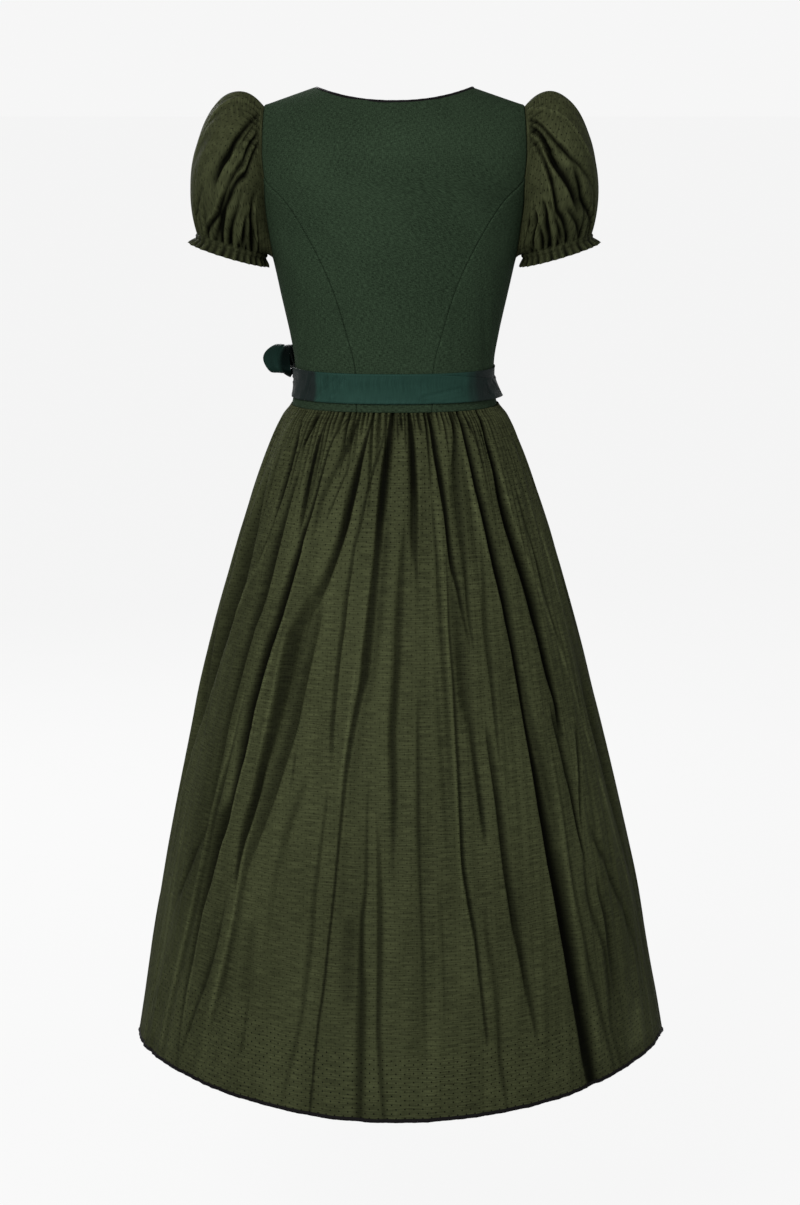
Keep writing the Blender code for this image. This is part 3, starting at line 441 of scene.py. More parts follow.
class Shader:
    """A material's nodes, with short calls for the usual ones."""

    def __init__(self, name):
        self.material = bpy.data.materials.new(name)
        self.material.use_nodes = True
        self.nodes = self.material.node_tree.nodes
        self.main = self.nodes["Principled BSDF"]
        self.marks = None

    def feed(self, socket, value):
        """Links a socket to another one, or sets it to a value."""
        if isinstance(value, bpy.types.NodeSocket):
            self.material.node_tree.links.new(value, socket)
        else:
            socket.default_value = value

    def math(self, kind, a, b=0.0, c=0.0):
        """A sum, product and so on of values."""
        node = self.nodes.new("ShaderNodeMath")
        node.operation = kind
        for k, value in enumerate((a, b, c)):
            self.feed(node.inputs[k], value)
        return node.outputs[0]

    def spread(self, value, low, high, to_low=0.0, to_high=1.0):
        """Softly stretches the range from low to high."""
        node = self.nodes.new("ShaderNodeMapRange")
        node.interpolation_type = "SMOOTHSTEP"
        for k, number in enumerate((value, low, high, to_low, to_high)):
            self.feed(node.inputs[k], number)
        return node.outputs[0]

    def uv(self):
        """The two cloth coordinates, in metres."""
        if self.marks is None:
            place = self.nodes.new("ShaderNodeUVMap")
            place.uv_map = "UVMap"
            split = self.nodes.new("ShaderNodeSeparateXYZ")
            self.feed(split.inputs[0], place.outputs[0])
            self.marks = split.outputs[0], split.outputs[1]
        return self.marks

    def noise(self, u, v, scale_u, scale_v, detail=2.0, rough=0.5):
        """Noise whose grains are 1 / scale long each way, in metres."""
        join = self.nodes.new("ShaderNodeCombineXYZ")
        self.feed(join.inputs[0], self.math("MULTIPLY", u, scale_u))
        self.feed(join.inputs[1], self.math("MULTIPLY", v, scale_v))
        node = self.nodes.new("ShaderNodeTexNoise")
        node.noise_dimensions = "2D"
        self.feed(node.inputs["Vector"], join.outputs[0])
        self.feed(node.inputs["Scale"], 1.0)
        self.feed(node.inputs["Detail"], detail)
        self.feed(node.inputs["Roughness"], rough)
        return node.outputs[0]

    def tint(self, share, low, high):
        """A colour between two, by share."""
        node = self.nodes.new("ShaderNodeMix")
        node.data_type = "RGBA"
        self.feed(node.inputs["Factor"], share)
        self.feed(node.inputs[6], low)
        self.feed(node.inputs[7], high)
        return node.outputs[2]

    def blend(self, *parts):
        """The sum of values, each with its weight."""
        total = None
        for value, weight in parts:
            part = self.math("MULTIPLY", value, weight)
            total = part if total is None else self.math("ADD", total, part)
        return total

    def scaled(self, colour, factor):
        """A colour times a factor."""
        node = self.nodes.new("ShaderNodeVectorMath")
        node.operation = "SCALE"
        self.feed(node.inputs[0], colour)
        self.feed(node.inputs["Scale"], factor)
        return node.outputs[0]

    def attribute(self, name):
        """A number stored at each point of the mesh."""
        node = self.nodes.new("ShaderNodeAttribute")
        node.attribute_name = name
        return node.outputs["Fac"]

    def threads(self, u, v, pitch):
        """Plain weave: warp and weft pass over and under each other."""
        a = self.math("SINE", self.math("MULTIPLY", u, math.pi / pitch))
        b = self.math("SINE", self.math("MULTIPLY", v, math.pi / pitch))
        return self.math("MULTIPLY", a, b)

    def ribs(self, along, pitch):
        """Waves from -1 to 1, a pitch apart."""
        return self.math("SINE", self.math("MULTIPLY", along, 2 * math.pi / pitch))

    def finish(self, colour, roughness, specular, height, distance, strength):
        """Joins colour, roughness and relief to the surface and gives the material."""
        self.feed(self.main.inputs["Base Color"], colour)
        self.feed(self.main.inputs["Roughness"], roughness)
        self.main.inputs["Specular IOR Level"].default_value = specular
        node = self.nodes.new("ShaderNodeBump")
        node.inputs["Strength"].default_value = strength
        node.inputs["Distance"].default_value = distance
        self.feed(node.inputs["Height"], height)
        self.feed(self.main.inputs["Normal"], node.outputs[0])
        return self.material


def shade(colour, factor):
    """The colour, darker or lighter by a factor."""
    return tuple(c * factor for c in colour[:3]) + (1.0,)


# colours, linear
COTTON = (0.0172, 0.0195, 0.0088, 1.0)
LINEN = (0.0092, 0.0156, 0.0088, 1.0)
RIBBON = (0.0070, 0.0185, 0.0142, 1.0)
# grey of the shot ribbon, used where the painted sheen and side shade fall
RIBBON_SHOT = (0.0050, 0.0060, 0.0060, 1.0)
RIBBON_GLINT = (0.45, 0.95, 0.85, 1.0)
TRIM = (0.0028, 0.0026, 0.0028, 1.0)
# the cotton's woven dots: distance apart, and radius where a dot is full and where it ends
DOT_PITCH = 0.0105
DOT_RADII = (0.00065, 0.00115)
# thread, rib and twill pitch of the cloths
COTTON_THREAD = 0.00034
LINEN_THREAD = 0.0005
RIBBON_RIB = 0.0007
TRIM_TWILL = 0.0008


def dots_share(s, u, v):
    """1 inside the cotton's dots, which lie on two grids half a pitch apart."""
    near = None
    for shift in (0.0, 0.5):
        apart = []
        for along in (u, v):
            turn = s.math("FRACT", s.math("ADD", s.math("DIVIDE", along, DOT_PITCH), shift))
            off = s.math("MULTIPLY", s.math("SUBTRACT", turn, 0.5), DOT_PITCH)
            apart.append(s.math("MULTIPLY", off, off))
        far = s.math("SQRT", s.math("ADD", *apart))
        near = far if near is None else s.math("MINIMUM", near, far)
    return s.spread(near, *DOT_RADII, 1.0, 0.0)


def cotton_material():
    """Light woven cloth with crosswise slubs and small dark woven-in dots."""
    s = Shader("skirt_cotton_cloth")
    u, v = s.uv()
    slub = s.noise(u, v, 42.0, 820.0, 2.0, 0.55)
    warp = s.noise(u, v, 900.0, 60.0, 2.0)
    broad = s.noise(u, v, 9.0, 5.0, 3.0)
    weave = s.threads(u, v, COTTON_THREAD)
    dot = dots_share(s, u, v)
    level = s.blend(
        (s.spread(slub, 0.34, 0.72), 0.62),
        (s.spread(warp, 0.3, 0.7), 0.16),
        (s.spread(broad, 0.25, 0.75), 0.22),
    )
    # the tone attribute brings painted shade in the folds and painted light on ridges and below the lining
    lit = s.scaled(s.tint(level, shade(COTTON, 0.60), shade(COTTON, 1.58)), s.attribute("tone"))
    colour = s.tint(s.math("MULTIPLY", dot, s.attribute("dots")), lit, shade(COTTON, 0.08))
    height = s.math("SUBTRACT", s.blend((slub, 0.55), (weave, 0.16)), s.math("MULTIPLY", dot, 0.35))
    return s.finish(colour, s.spread(slub, 0.2, 0.8, 0.62, 0.78), 0.01, height, 0.0004, 0.55)


def linen_material():
    """Heathered linen weave: short thick and thin threads both ways."""
    s = Shader("bodice_linen_cloth")
    u, v = s.uv()
    weft = s.noise(u, v, 220.0, 1300.0, 2.0, 0.6)
    warp = s.noise(u, v, 1300.0, 200.0, 2.0, 0.6)
    broad = s.noise(u, v, 10.0, 10.0, 2.0)
    weave = s.threads(u, v, LINEN_THREAD)
    level = s.blend(
        (s.spread(weft, 0.36, 0.66), 0.46),
        (s.spread(warp, 0.36, 0.66), 0.40),
        (s.spread(broad, 0.25, 0.75), 0.14),
    )
    colour = s.tint(level, shade(LINEN, 0.40), shade(LINEN, 1.72))
    height = s.blend((weft, 0.5), (warp, 0.5), (weave, 0.25))
    return s.finish(colour, s.spread(weft, 0.2, 0.8, 0.76, 0.90), 0.01, height, 0.0002, 0.5)


def ribbon_material():
    """Shot taffeta: fine crosswise ribs, teal where "tone" is 1 and purplish grey where it is 0."""
    s = Shader("shot_ribbon_taffeta")
    u, v = s.uv()
    rib = s.ribs(u, RIBBON_RIB)
    thread = s.noise(u, v, 1400.0, 40.0, 2.0)
    cloud = s.noise(u, v, 28.0, 60.0, 3.0)
    level = s.blend((s.spread(thread, 0.3, 0.7), 0.45), (cloud, 0.55))
    grey, teal = (s.tint(level, shade(colour, 0.66), shade(colour, 1.30)) for colour in (RIBBON_SHOT, RIBBON))
    # tone holds the painted shot sheen and side shade, dots the painted shade of the bow's loops
    lit = s.scaled(s.tint(s.attribute("tone"), grey, teal), s.attribute("dots"))
    s.main.inputs["Anisotropic"].default_value = 0.5
    s.main.inputs["Specular Tint"].default_value = RIBBON_GLINT
    height = s.blend((rib, 0.25), (thread, 0.5))
    return s.finish(lit, s.spread(cloud, 0.3, 0.7, 0.34, 0.46), 0.02, height, 0.0002, 0.5)


def trim_material():
    """Black satin binding with a fine slanting twill."""
    s = Shader("black_trim_satin")
    u, v = s.uv()
    twill = s.ribs(s.math("ADD", u, v), TRIM_TWILL)
    fuzz = s.noise(u, v, 600.0, 600.0, 2.0)
    level = s.math("ADD", s.math("MULTIPLY", twill, 0.2), fuzz)
    colour = s.tint(level, shade(TRIM, 0.6), shade(TRIM, 1.7))
    return s.finish(colour, s.spread(fuzz, 0.2, 0.8, 0.42, 0.6), 0.01, level, 0.00025, 0.5)


# ---- bodice --------------------------------------------------------------------------------------

# angle, lowest, highest, lean, depth, width of soft pulls in the bodice (both sides)
BODICE_PULLS = (
    (62.0, -0.345, -0.235, 0.5, 0.0014, 0.012),
    (74.0, -0.330, -0.260, 0.9, 0.0012, 0.010),
    (40.0, -0.345, -0.290, 0.2, 0.0008, 0.009),
    (118.0, -0.340, -0.230, -0.6, 0.0012, 0.012),
    (150.0, -0.335, -0.270, -0.2, 0.0008, 0.010),
)


def body_point(angle, z, out=0.0):
    """A point of the body form; angle in radians from centre back."""
    half = smooth_table(BODY_SECTIONS, z, 1) + out
    back = smooth_table(BODY_SECTIONS, z, 2) + out
    front = smooth_table(BODY_SECTIONS, z, 3) + out
    x = -half * signed_power(np.sin(angle), SQUARENESS)
    depth = np.where(np.cos(angle) >= 0, back, front)
    y = depth * signed_power(np.cos(angle), SQUARENESS)
    below = shoulder_z(x) - z
    share = np.clip(below / SHOULDER_ROUND, 0.0, 1.0)
    rounding = (1.0 - (1.0 - share) ** SHOULDER_POWERS[0]) ** SHOULDER_POWERS[1]
    y = SHOULDER_Y + (y - SHOULDER_Y) * rounding
    return np.stack([x, y, z + 0.0 * x], axis=-1)


def body_normals(angle, z):
    """Normals of the body form."""
    step = 1e-4
    across = body_point(angle + step, z) - body_point(angle - step, z)
    down = body_point(angle, z - step) - body_point(angle, z + step)
    return unit(np.cross(down, across))


def angle_of_x(x, z):
    """Angle from centre back or centre front at this distance from the middle."""
    share = np.clip(np.abs(x) / smooth_table(BODY_SECTIONS, z, 1), 0.0, 1.0)
    return np.arcsin(share ** (1.0 / SQUARENESS))


def shoulder_z(x):
    """Height of the shoulder seam, and a low arch between the neck points."""
    sloping = -SHOULDER_SLOPE * (np.abs(x) - NECK_HALF)
    arch = SHOULDER_SLOPE * (NECK_HALF ** 2 - x * x) / (2 * NECK_HALF)
    return np.where(np.abs(x) > NECK_HALF, sloping, arch)


def neckline_z(x, drop, power):
    """Height of the neckline."""
    share = np.clip(np.abs(x) / NECK_HALF, 0.0, 1.0)
    return -drop * (1.0 - share ** power)


def panel_heights(table, top, count):
    """Row heights between the waist and the top, close together where the table's are."""
    marks = np.linspace(0.0, len(table) - 1.0, len(table))
    return smooth_values(marks, np.array(table), np.linspace(0.0, top, count))


def centre_grid(front, columns, count):
    """Points and normals of a centre panel, its neckline and shoulder on top."""
    edge = FRONT_EDGE if front else BACK_EDGE
    table = FRONT_ROWS if front else BACK_ROWS
    heights = panel_heights(table, len(table) - 1.0, count)
    drop = FRONT_NECK_DROP if front else BACK_NECK_DROP
    power = FRONT_NECK_POWER if front else BACK_NECK_POWER
    edge_x = smooth_table(edge, heights, 1)
    level = table[LEVEL_ROW]
    share = np.clip((heights - level) / (heights[-1] - level), 0.0, 1.0)
    top_x = columns * SHOULDER_HALF
    top = np.where(np.abs(top_x) <= NECK_HALF + 1e-6, neckline_z(top_x, drop, power), shoulder_z(top_x))
    x = edge_x[:, None] * columns[None, :]
    z = np.minimum(heights, level)[:, None] + share[:, None] * (top[None, :] - level)
    angle = angle_of_x(x, z) * np.sign(x + 1e-12)
    if front:
        angle = math.pi - angle
    grid = body_point(angle, z)
    nearest = SHOULDER_Y + (-SEAM_GAP if front else SEAM_GAP) / 2
    grid[..., 1] = np.minimum(grid[..., 1], nearest) if front else np.maximum(grid[..., 1], nearest)
    return grid, body_normals(angle, z)


def side_grid(front, sign, columns, count):
    """Points and normals of a side panel, from its princess seam to the side seam."""
    edge = FRONT_EDGE if front else BACK_EDGE
    table = (FRONT_ROWS if front else BACK_ROWS)[: CORNER_ROW + 1]
    heights = panel_heights(table, CORNER_ROW, count)
    corner = table[-1]
    share = (heights - WAIST_Z) / (corner - WAIST_Z)
    inner = angle_of_x(smooth_table(edge, heights, 1), heights)
    top = corner + smooth_table(ARMHOLE_CURVE, columns, 1) * (UNDERARM_Z - corner)
    outer = math.pi / 2
    angle = inner[:, None] + columns[None, :] * (outer - inner[:, None])
    z = WAIST_Z + share[:, None] * (top[None, :] - WAIST_Z)
    if front:
        angle = math.pi - angle
    return body_point(angle * sign, z), body_normals(angle * sign, z)


def body_creases(grid):
    """How far the worn bodice sinks: soft pulls at the waist and under the arms, a little uneven."""
    x, z = grid[..., 0], grid[..., 2]
    turn = np.arctan2(-x, grid[..., 1])
    sink = BODICE_WAVES * uneven(turn * 1.2, z * 16.0, 3)
    for place, low, high, lean, deep, wide in BODICE_PULLS:
        mid = (low + high) / 2
        for side in (-1.0, 1.0):
            off = np.abs(turn - side * math.radians(place) + side * lean * (z - mid) * 4.0) * BODICE_RADIUS
            reach = step_up(low - 0.02, low + 0.02, z) * (1.0 - step_up(high - 0.02, high + 0.02, z))
            sink = sink + deep * bell(off / wide) * reach
    return sink


def sewn_panel(grid, normals):
    """The panel's outer face with its creases, and its sewn side edges turned in."""
    run = run_along(grid, 1)
    far = np.minimum(run, run[:, -1:] - run)
    roll = ROLL_DEPTH * np.clip(1.0 - far / ROLL_WIDTH, 0.0, 1.0) ** 2
    puff = SEAM_PUFF * bell((far - PUFF_PLACE) / PUFF_WIDTH)
    settle = step_up(0.0, SETTLE_WIDTH, far)
    return grid - normals * (roll - puff + settle * body_creases(grid))[..., None]


def make_bodice(linen, trim):
    """The seven panels and the piping."""
    mirror = np.array([-1.0, 1.0, 1.0])
    pieces = {"bodice_back_centre": centre_grid(False, crowd(BACK_PANEL_COLUMNS, 0.35) * 2 - 1, PANEL_ROWS)}
    grid, normals = centre_grid(True, crowd(FRONT_PANEL_COLUMNS, 0.35), PANEL_ROWS)
    pieces["bodice_front_right"] = grid, normals
    pieces["bodice_front_left"] = grid * mirror, normals * mirror
    for name, sign in (("right", 1.0), ("left", -1.0)):
        for part, front in (("back", False), ("front", True)):
            columns = crowd(SIDE_PANEL_COLUMNS, 0.4)
            pieces["bodice_side_" + part + "_" + name] = side_grid(front, sign, columns, SIDE_PANEL_ROWS)
    for name, (grid, normals) in pieces.items():
        outer = sewn_panel(grid, normals)
        cloth(name + "_cloth", outer, linen, [name], BODICE_SHELL)
    piping = make_piping(pieces, trim)


def make_piping(pieces, trim):
    """A fine folded binding along the neckline, slightly uneven."""
    runs = []
    faces = []
    right, back, left = (pieces["bodice_" + n] for n in ("front_right", "back_centre", "front_left"))
    for (grid, normals), flip in ((right, False), (back, True), (left, True)):
        inside = np.abs(grid[-1, :, 0]) <= NECK_HALF + 0.0004
        line = (grid - normals * CLOTH / 2)[-1, inside]
        aim = normals[-1, inside]
        runs.append(line[::-1] if flip else line)
        faces.append(aim[::-1] if flip else aim)
    edge = np.concatenate(runs)
    aim = np.concatenate(faces)
    for _ in range(3):
        aim[1:-1] = (aim[:-2] + aim[1:-1] + aim[2:]) / 3
    tangent = unit(np.gradient(edge, axis=0))
    across = unit(np.cross(tangent, aim))
    across = across * np.sign(np.sum(across * (np.array(ABOVE_NECK) - edge), axis=1, keepdims=True))
    out = unit(np.cross(tangent, across))
    out = out * np.sign(np.sum(out * aim, axis=1, keepdims=True))
    path = edge + across * PIPING_UP + out * PIPING_OUT
    path[0, 0] -= 2 * SEAM_GAP
    path[-1, 0] += 2 * SEAM_GAP
    along = np.concatenate([[0.0], np.cumsum(np.linalg.norm(np.diff(path, axis=0), axis=1))])
    swell = 1.0 + 0.05 * np.sin(along * 520.0) + 0.03 * np.sin(along * 233.0)
    rings = []
    for k in range(PIPING_SIDES):
        a = 2 * math.pi * k / PIPING_SIDES
        r = PIPING_RADIUS * swell[:, None]
        rings.append(path + r * (PIPING_FLATNESS * math.cos(a) * across + math.sin(a) * out))
    grid = np.stack(rings, axis=1)
    middle = path[:, None]
    return cloth("neck_piping_cord", grid, trim, ["neck_piping"], 0.0, True, centre=middle)


# ---- skirt and apron -----------------------------------------------------------------------------

# Creases of the back width. Each row: name, crisp side (-1 lower angles, 1 higher angles, 0 neither)
# and, going down, (share down, angle in degrees, half width in degrees, darkness). The darkness is
# painted shade down in the crease. A ridge has a negative darkness, a painted highlight along it.
BACK_CREASES = (
    ("dark_left", 1, (
        (0.08, -68, 1.5, 0), (0.14, -68, 3.5, 0.6), (0.20, -68.5, 5.4, 0.95), (0.27, -69.4, 6.2, 1.0),
        (0.34, -72, 6.2, 1.0), (0.45, -76.3, 5.8, 0.9), (0.55, -81.5, 4.2, 0.6), (0.66, -85, 2.8, 0.3),
        (0.78, -87, 1.6, 0),
    )),
    ("lip_left", 0, (
        (0.19, -52.4, 0.6, 0), (0.224, -54.6, 0.8, -0.6), (0.24, -57.4, 0.9, -0.9), (0.256, -59.5, 0.9, -1.0),
        (0.284, -62, 0.9, -1.0), (0.34, -65.6, 0.9, -0.9), (0.40, -67.8, 0.8, -0.9), (0.46, -70.9, 0.8, -0.8),
        (0.54, -75.6, 0.8, -0.7), (0.60, -79, 0.7, 0),
    )),
    ("line_far", 0, (
        (0.16, -51.6, 0.4, 0), (0.18, -52.8, 0.5, 0.35), (0.216, -55.4, 0.5, 0.4), (0.236, -58.4, 0.4, 0),
    )),
    ("short_one", 1, (
        (0.0, -54.6, 0.6, 0.2), (0.012, -54.0, 0.8, 0.6), (0.03, -52.3, 1.2, 0.85), (0.05, -51.1, 1.4, 0.95),
        (0.08, -50.3, 1.5, 1.0), (0.11, -50.5, 1.4, 1.0), (0.135, -51.0, 1.0, 0.9), (0.155, -51.6, 0.7, 0.5),
        (0.175, -52, 0.5, 0),
    )),
    ("small_one", -1, (
        (0.002, -42.1, 0.9, 0.2), (0.012, -42.5, 1.2, 0.95), (0.03, -43.4, 1.0, 1.0),
        (0.045, -44.4, 0.7, 0.8), (0.062, -45.2, 0.4, 0),
    )),
    ("soft_left", 1, (
        (0.075, -43.2, 0.7, 0), (0.096, -44.0, 0.9, 0.4), (0.13, -45.2, 1.0, 0.6), (0.17, -46.4, 1.3, 0.68),
        (0.20, -47.6, 1.8, 0.72), (0.24, -48.6, 2.0, 0.68), (0.28, -49.8, 1.9, 0.62),
        (0.32, -51.6, 1.8, 0.62), (0.36, -52.4, 1.7, 0.58), (0.413, -53.4, 1.3, 0.52),
        (0.472, -54.6, 1.0, 0.42), (0.523, -55.5, 0.9, 0.36), (0.58, -56.4, 0.8, 0.25), (0.62, -57.0, 0.8, 0),
    )),
    ("slant_far", 0, (
        (0.60, -55.0, 0.6, 0), (0.63, -57.0, 0.8, 0.25), (0.66, -59.6, 0.9, 0.36), (0.70, -62.5, 0.9, 0.45),
        (0.743, -65.5, 0.8, 0.3), (0.77, -67.4, 0.5, 0),
    )),
    ("edge_left", 0, (
        (0.34, -47.4, 0.5, 0), (0.39, -48.8, 0.6, -0.5), (0.435, -49.8, 0.6, -0.9), (0.494, -51.6, 0.6, -0.9),
        (0.553, -54.0, 0.6, -0.9), (0.604, -55.2, 0.6, -1.0), (0.655, -55.8, 0.6, -1.0),
        (0.707, -57.0, 0.6, -1.0), (0.765, -58.2, 0.6, -1.0), (0.824, -60.0, 0.6, -0.9),
        (0.868, -61.2, 0.6, -0.8), (0.92, -62.4, 0.6, -0.6), (1.0, -63.0, 0.6, -0.5),
    )),
    ("edge_shade", -1, (
        (0.42, -48.6, 0.6, 0), (0.50, -50.8, 0.8, 0.25), (0.60, -54.0, 1.1, 0.35), (0.70, -55.6, 1.2, 0.3),
        (0.80, -57.6, 1.2, 0.3), (0.90, -60.0, 1.2, 0.2), (1.0, -61.6, 1.0, 0.1),
    )),
    ("far_ridge", 0, (
        (0.62, -68.6, 0.8, 0), (0.68, -69.4, 0.8, -0.7), (0.84, -70.3, 0.8, -0.7), (0.93, -71.8, 0.8, -0.3),
        (1.0, -72.4, 0.8, 0),
    )),
    ("short_two", -1, (
        (0.0, -34.0, 0.4, 0.4), (0.02, -34.9, 0.5, 0.65), (0.044, -36.2, 0.9, 0.9), (0.07, -36.9, 1.1, 1.0),
        (0.10, -37.4, 1.2, 1.0), (0.13, -37.1, 1.1, 0.85), (0.155, -36.8, 1.0, 0.6), (0.17, -36.8, 0.8, 0.25),
        (0.19, -37.0, 0.6, 0),
    )),
    ("short_two_soft", 0, (
        (0.03, -33.4, 1.0, 0), (0.06, -34.2, 1.4, 0.36), (0.12, -35.0, 1.4, 0.32), (0.155, -35.2, 1.0, 0),
    )),
    ("deep_left", 1, (
        (0.008, -25.0, 0.4, 0), (0.028, -26.6, 0.6, 0.6), (0.056, -29.1, 0.6, 0.65), (0.09, -30.4, 0.6, 0.75),
        (0.12, -31.6, 0.7, 0.8), (0.15, -32.9, 0.8, 0.85), (0.18, -34.9, 1.0, 0.92), (0.20, -35.6, 1.1, 0.96),
        (0.224, -36.9, 1.3, 1.0), (0.248, -38.0, 1.4, 1.0), (0.29, -39.9, 1.5, 1.0), (0.34, -42.2, 1.4, 1.0),
        (0.40, -44.2, 1.4, 1.0), (0.435, -45.4, 1.4, 1.0), (0.487, -46.2, 1.4, 1.0), (0.53, -47.0, 0.9, 0.95),
        (0.56, -47.6, 0.8, 0.9), (0.61, -49.7, 2.0, 0.82), (0.648, -51.2, 1.9, 0.86),
        (0.69, -52.2, 1.6, 0.76), (0.75, -53.5, 1.0, 0.55), (0.81, -54.2, 0.8, 0.48),
        (0.88, -55.3, 0.6, 0.42), (0.93, -55.6, 0.5, 0.3), (1.0, -54.8, 0.5, 0.2),
    )),
    ("deep_left_lip", 0, (
        (0.17, -33.2, 0.4, 0), (0.20, -34.0, 0.5, -0.7), (0.24, -35.4, 0.5, -0.7), (0.28, -37.4, 0.5, -0.8),
        (0.33, -39.2, 0.5, -0.6), (0.37, -40.8, 0.5, -0.7), (0.435, -43.2, 0.5, -1.0),
        (0.50, -44.4, 0.5, -1.0), (0.553, -46.0, 0.5, -1.0), (0.61, -47.6, 0.5, -1.0),
        (0.655, -49.4, 0.5, -1.0), (0.707, -51.3, 0.5, -0.9), (0.765, -52.8, 0.5, -0.9),
        (0.84, -53.7, 0.5, -0.8), (0.89, -54.6, 0.5, -0.5), (0.95, -54.4, 0.5, 0),
    )),
    ("slant_one", 0, (
        (0.004, -16.0, 0.6, 0.2), (0.02, -17.4, 1.2, 0.75), (0.052, -20.4, 1.7, 0.62),
        (0.08, -24.0, 1.5, 0.45), (0.104, -26.8, 1.2, 0.42), (0.13, -29.1, 1.1, 0.42),
        (0.17, -30.4, 0.8, 0.25), (0.19, -31.0, 0.6, 0),
    )),
    ("slant_two", 1, (
        (0.06, -17.4, 0.4, 0), (0.076, -18.3, 0.4, 0.4), (0.104, -20.9, 0.5, 0.5), (0.136, -24.0, 0.5, 0.45),
        (0.16, -25.9, 0.4, 0),
    )),
    ("notch_one", 0, ((0.002, -21.2, 0.4, 0.6), (0.012, -22.8, 0.4, 0.9), (0.026, -25.0, 0.3, 0))),
    ("notch_two", 0, ((0.004, -19.8, 0.4, 0.6), (0.018, -22.0, 0.4, 0.8), (0.034, -24.4, 0.3, 0))),
    ("swing_left", 1, (
        (0.0, -9.0, 0.4, 0.5), (0.024, -10.4, 0.6, 0.75), (0.048, -12.0, 0.9, 0.9), (0.076, -13.6, 1.2, 1.0),
        (0.10, -14.8, 1.5, 1.0), (0.132, -16.4, 1.5, 1.0), (0.16, -17.7, 1.5, 0.95), (0.188, -19.6, 1.4, 0.9),
        (0.216, -21.7, 1.5, 0.8), (0.24, -23.9, 1.7, 0.68), (0.272, -27.5, 2.2, 0.45),
        (0.30, -30.6, 2.2, 0.3), (0.33, -32, 2.0, 0),
    )),
    ("swing_low", -1, (
        (0.25, -27.0, 1.6, 0), (0.29, -31.0, 2.2, 0.45), (0.33, -33.8, 2.6, 0.58), (0.362, -34.3, 2.6, 0.62),
        (0.413, -35.4, 2.0, 0.66), (0.472, -37.1, 1.6, 0.66), (0.523, -38.9, 1.3, 0.76),
        (0.56, -39.8, 1.3, 0.8), (0.597, -41.3, 1.4, 0.78), (0.633, -42.4, 1.0, 0.76),
        (0.663, -42.6, 0.7, 0.7), (0.70, -42.4, 0.5, 0),
    )),
    ("swing_lip", 0, (
        (0.29, -35.6, 0.6, 0), (0.34, -37.3, 0.6, -0.9), (0.413, -38.2, 0.6, -1.0), (0.487, -39.5, 0.6, -0.6),
        (0.55, -41.0, 0.6, 0),
    )),
    ("grey_left", 1, (
        (0.26, -24.4, 1.2, 0), (0.31, -26.0, 1.6, 0.38), (0.36, -27.6, 1.8, 0.45), (0.40, -28.8, 1.9, 0.5),
        (0.45, -30.2, 2.1, 0.55), (0.50, -32.6, 2.1, 0.52), (0.56, -35.2, 1.9, 0.45),
        (0.62, -37.7, 1.4, 0.38), (0.66, -39.5, 1.0, 0.2), (0.70, -40.6, 0.8, 0),
    )),
    ("grey_left_wide", 0, (
        (0.26, -28, 2.0, 0), (0.32, -29.4, 3.2, 0.24), (0.40, -31.6, 3.0, 0.24), (0.48, -35.0, 2.2, 0.2),
        (0.56, -37.6, 1.6, 0),
    )),
    ("fine_left", 0, ((0.47, -27.6, 0.3, 0), (0.50, -28.0, 0.35, 0.4), (0.56, -28.7, 0.3, 0))),
    ("line_left", 0, (
        (0.55, -37.6, 0.4, 0), (0.58, -38.8, 0.5, -0.8), (0.62, -40.2, 0.5, -1.0), (0.655, -41.0, 0.5, -1.0),
        (0.72, -41.7, 0.5, -1.0), (0.78, -42.9, 0.5, -1.0), (0.83, -44.3, 0.5, -1.0),
        (0.88, -45.6, 0.5, -0.7), (0.92, -46.4, 0.4, 0),
    )),
    ("line_shade", -1, (
        (0.60, -38.6, 0.6, 0), (0.66, -39.8, 0.9, 0.3), (0.74, -40.9, 1.0, 0.3), (0.82, -42.7, 1.1, 0.36),
        (0.90, -45.2, 0.9, 0.2), (0.94, -46, 0.6, 0),
    )),
    ("low_slant", 1, (
        (0.70, -45.0, 0.3, 0), (0.74, -45.5, 0.4, 0.3), (0.78, -46.3, 0.6, 0.4), (0.846, -48.5, 0.7, 0.45),
        (0.905, -51.4, 0.6, 0.45), (0.956, -53.4, 0.5, 0.3), (0.98, -54.2, 0.4, 0),
    )),
    ("low_patch", 0, (
        (0.73, -36.6, 1.4, 0), (0.76, -36.6, 2.0, 0.22), (0.83, -36.4, 2.0, 0.24), (0.86, -36.2, 1.2, 0),
    )),
    ("fine_low", 0, (
        (0.84, -35.0, 0.3, 0), (0.87, -35.2, 0.4, 0.3), (0.92, -35.6, 0.5, 0.3), (0.94, -36.6, 0.4, 0),
    )),
    ("low_left_one", 0, (
        (0.52, -18.0, 0.3, 0), (0.56, -18.5, 0.4, 0.35), (0.62, -19.3, 0.5, 0.4), (0.685, -20.1, 0.6, 0.42),
        (0.75, -20.4, 0.7, 0.42), (0.80, -21.0, 0.7, 0.4), (0.853, -21.6, 0.6, 0.36),
        (0.912, -23.0, 0.6, 0.32), (0.97, -24.6, 0.5, 0.2), (1.0, -25.2, 0.4, 0),
    )),
    ("low_left_two", 0, (
        (0.50, -23.4, 0.6, 0), (0.54, -25.2, 0.9, 0.25), (0.59, -28.0, 1.0, 0.28), (0.66, -30.4, 1.0, 0.22),
        (0.74, -31.6, 0.8, 0.14), (0.82, -32.6, 0.6, 0),
    )),
    ("thin_left", 1, (
        (0.02, -3.2, 0.4, 0), (0.04, -4.4, 0.5, 0.4), (0.064, -6.3, 0.6, 0.55), (0.096, -8.8, 0.6, 0.55),
        (0.132, -10.7, 0.6, 0.55), (0.16, -12.0, 0.6, 0.5), (0.192, -13.9, 0.6, 0.5),
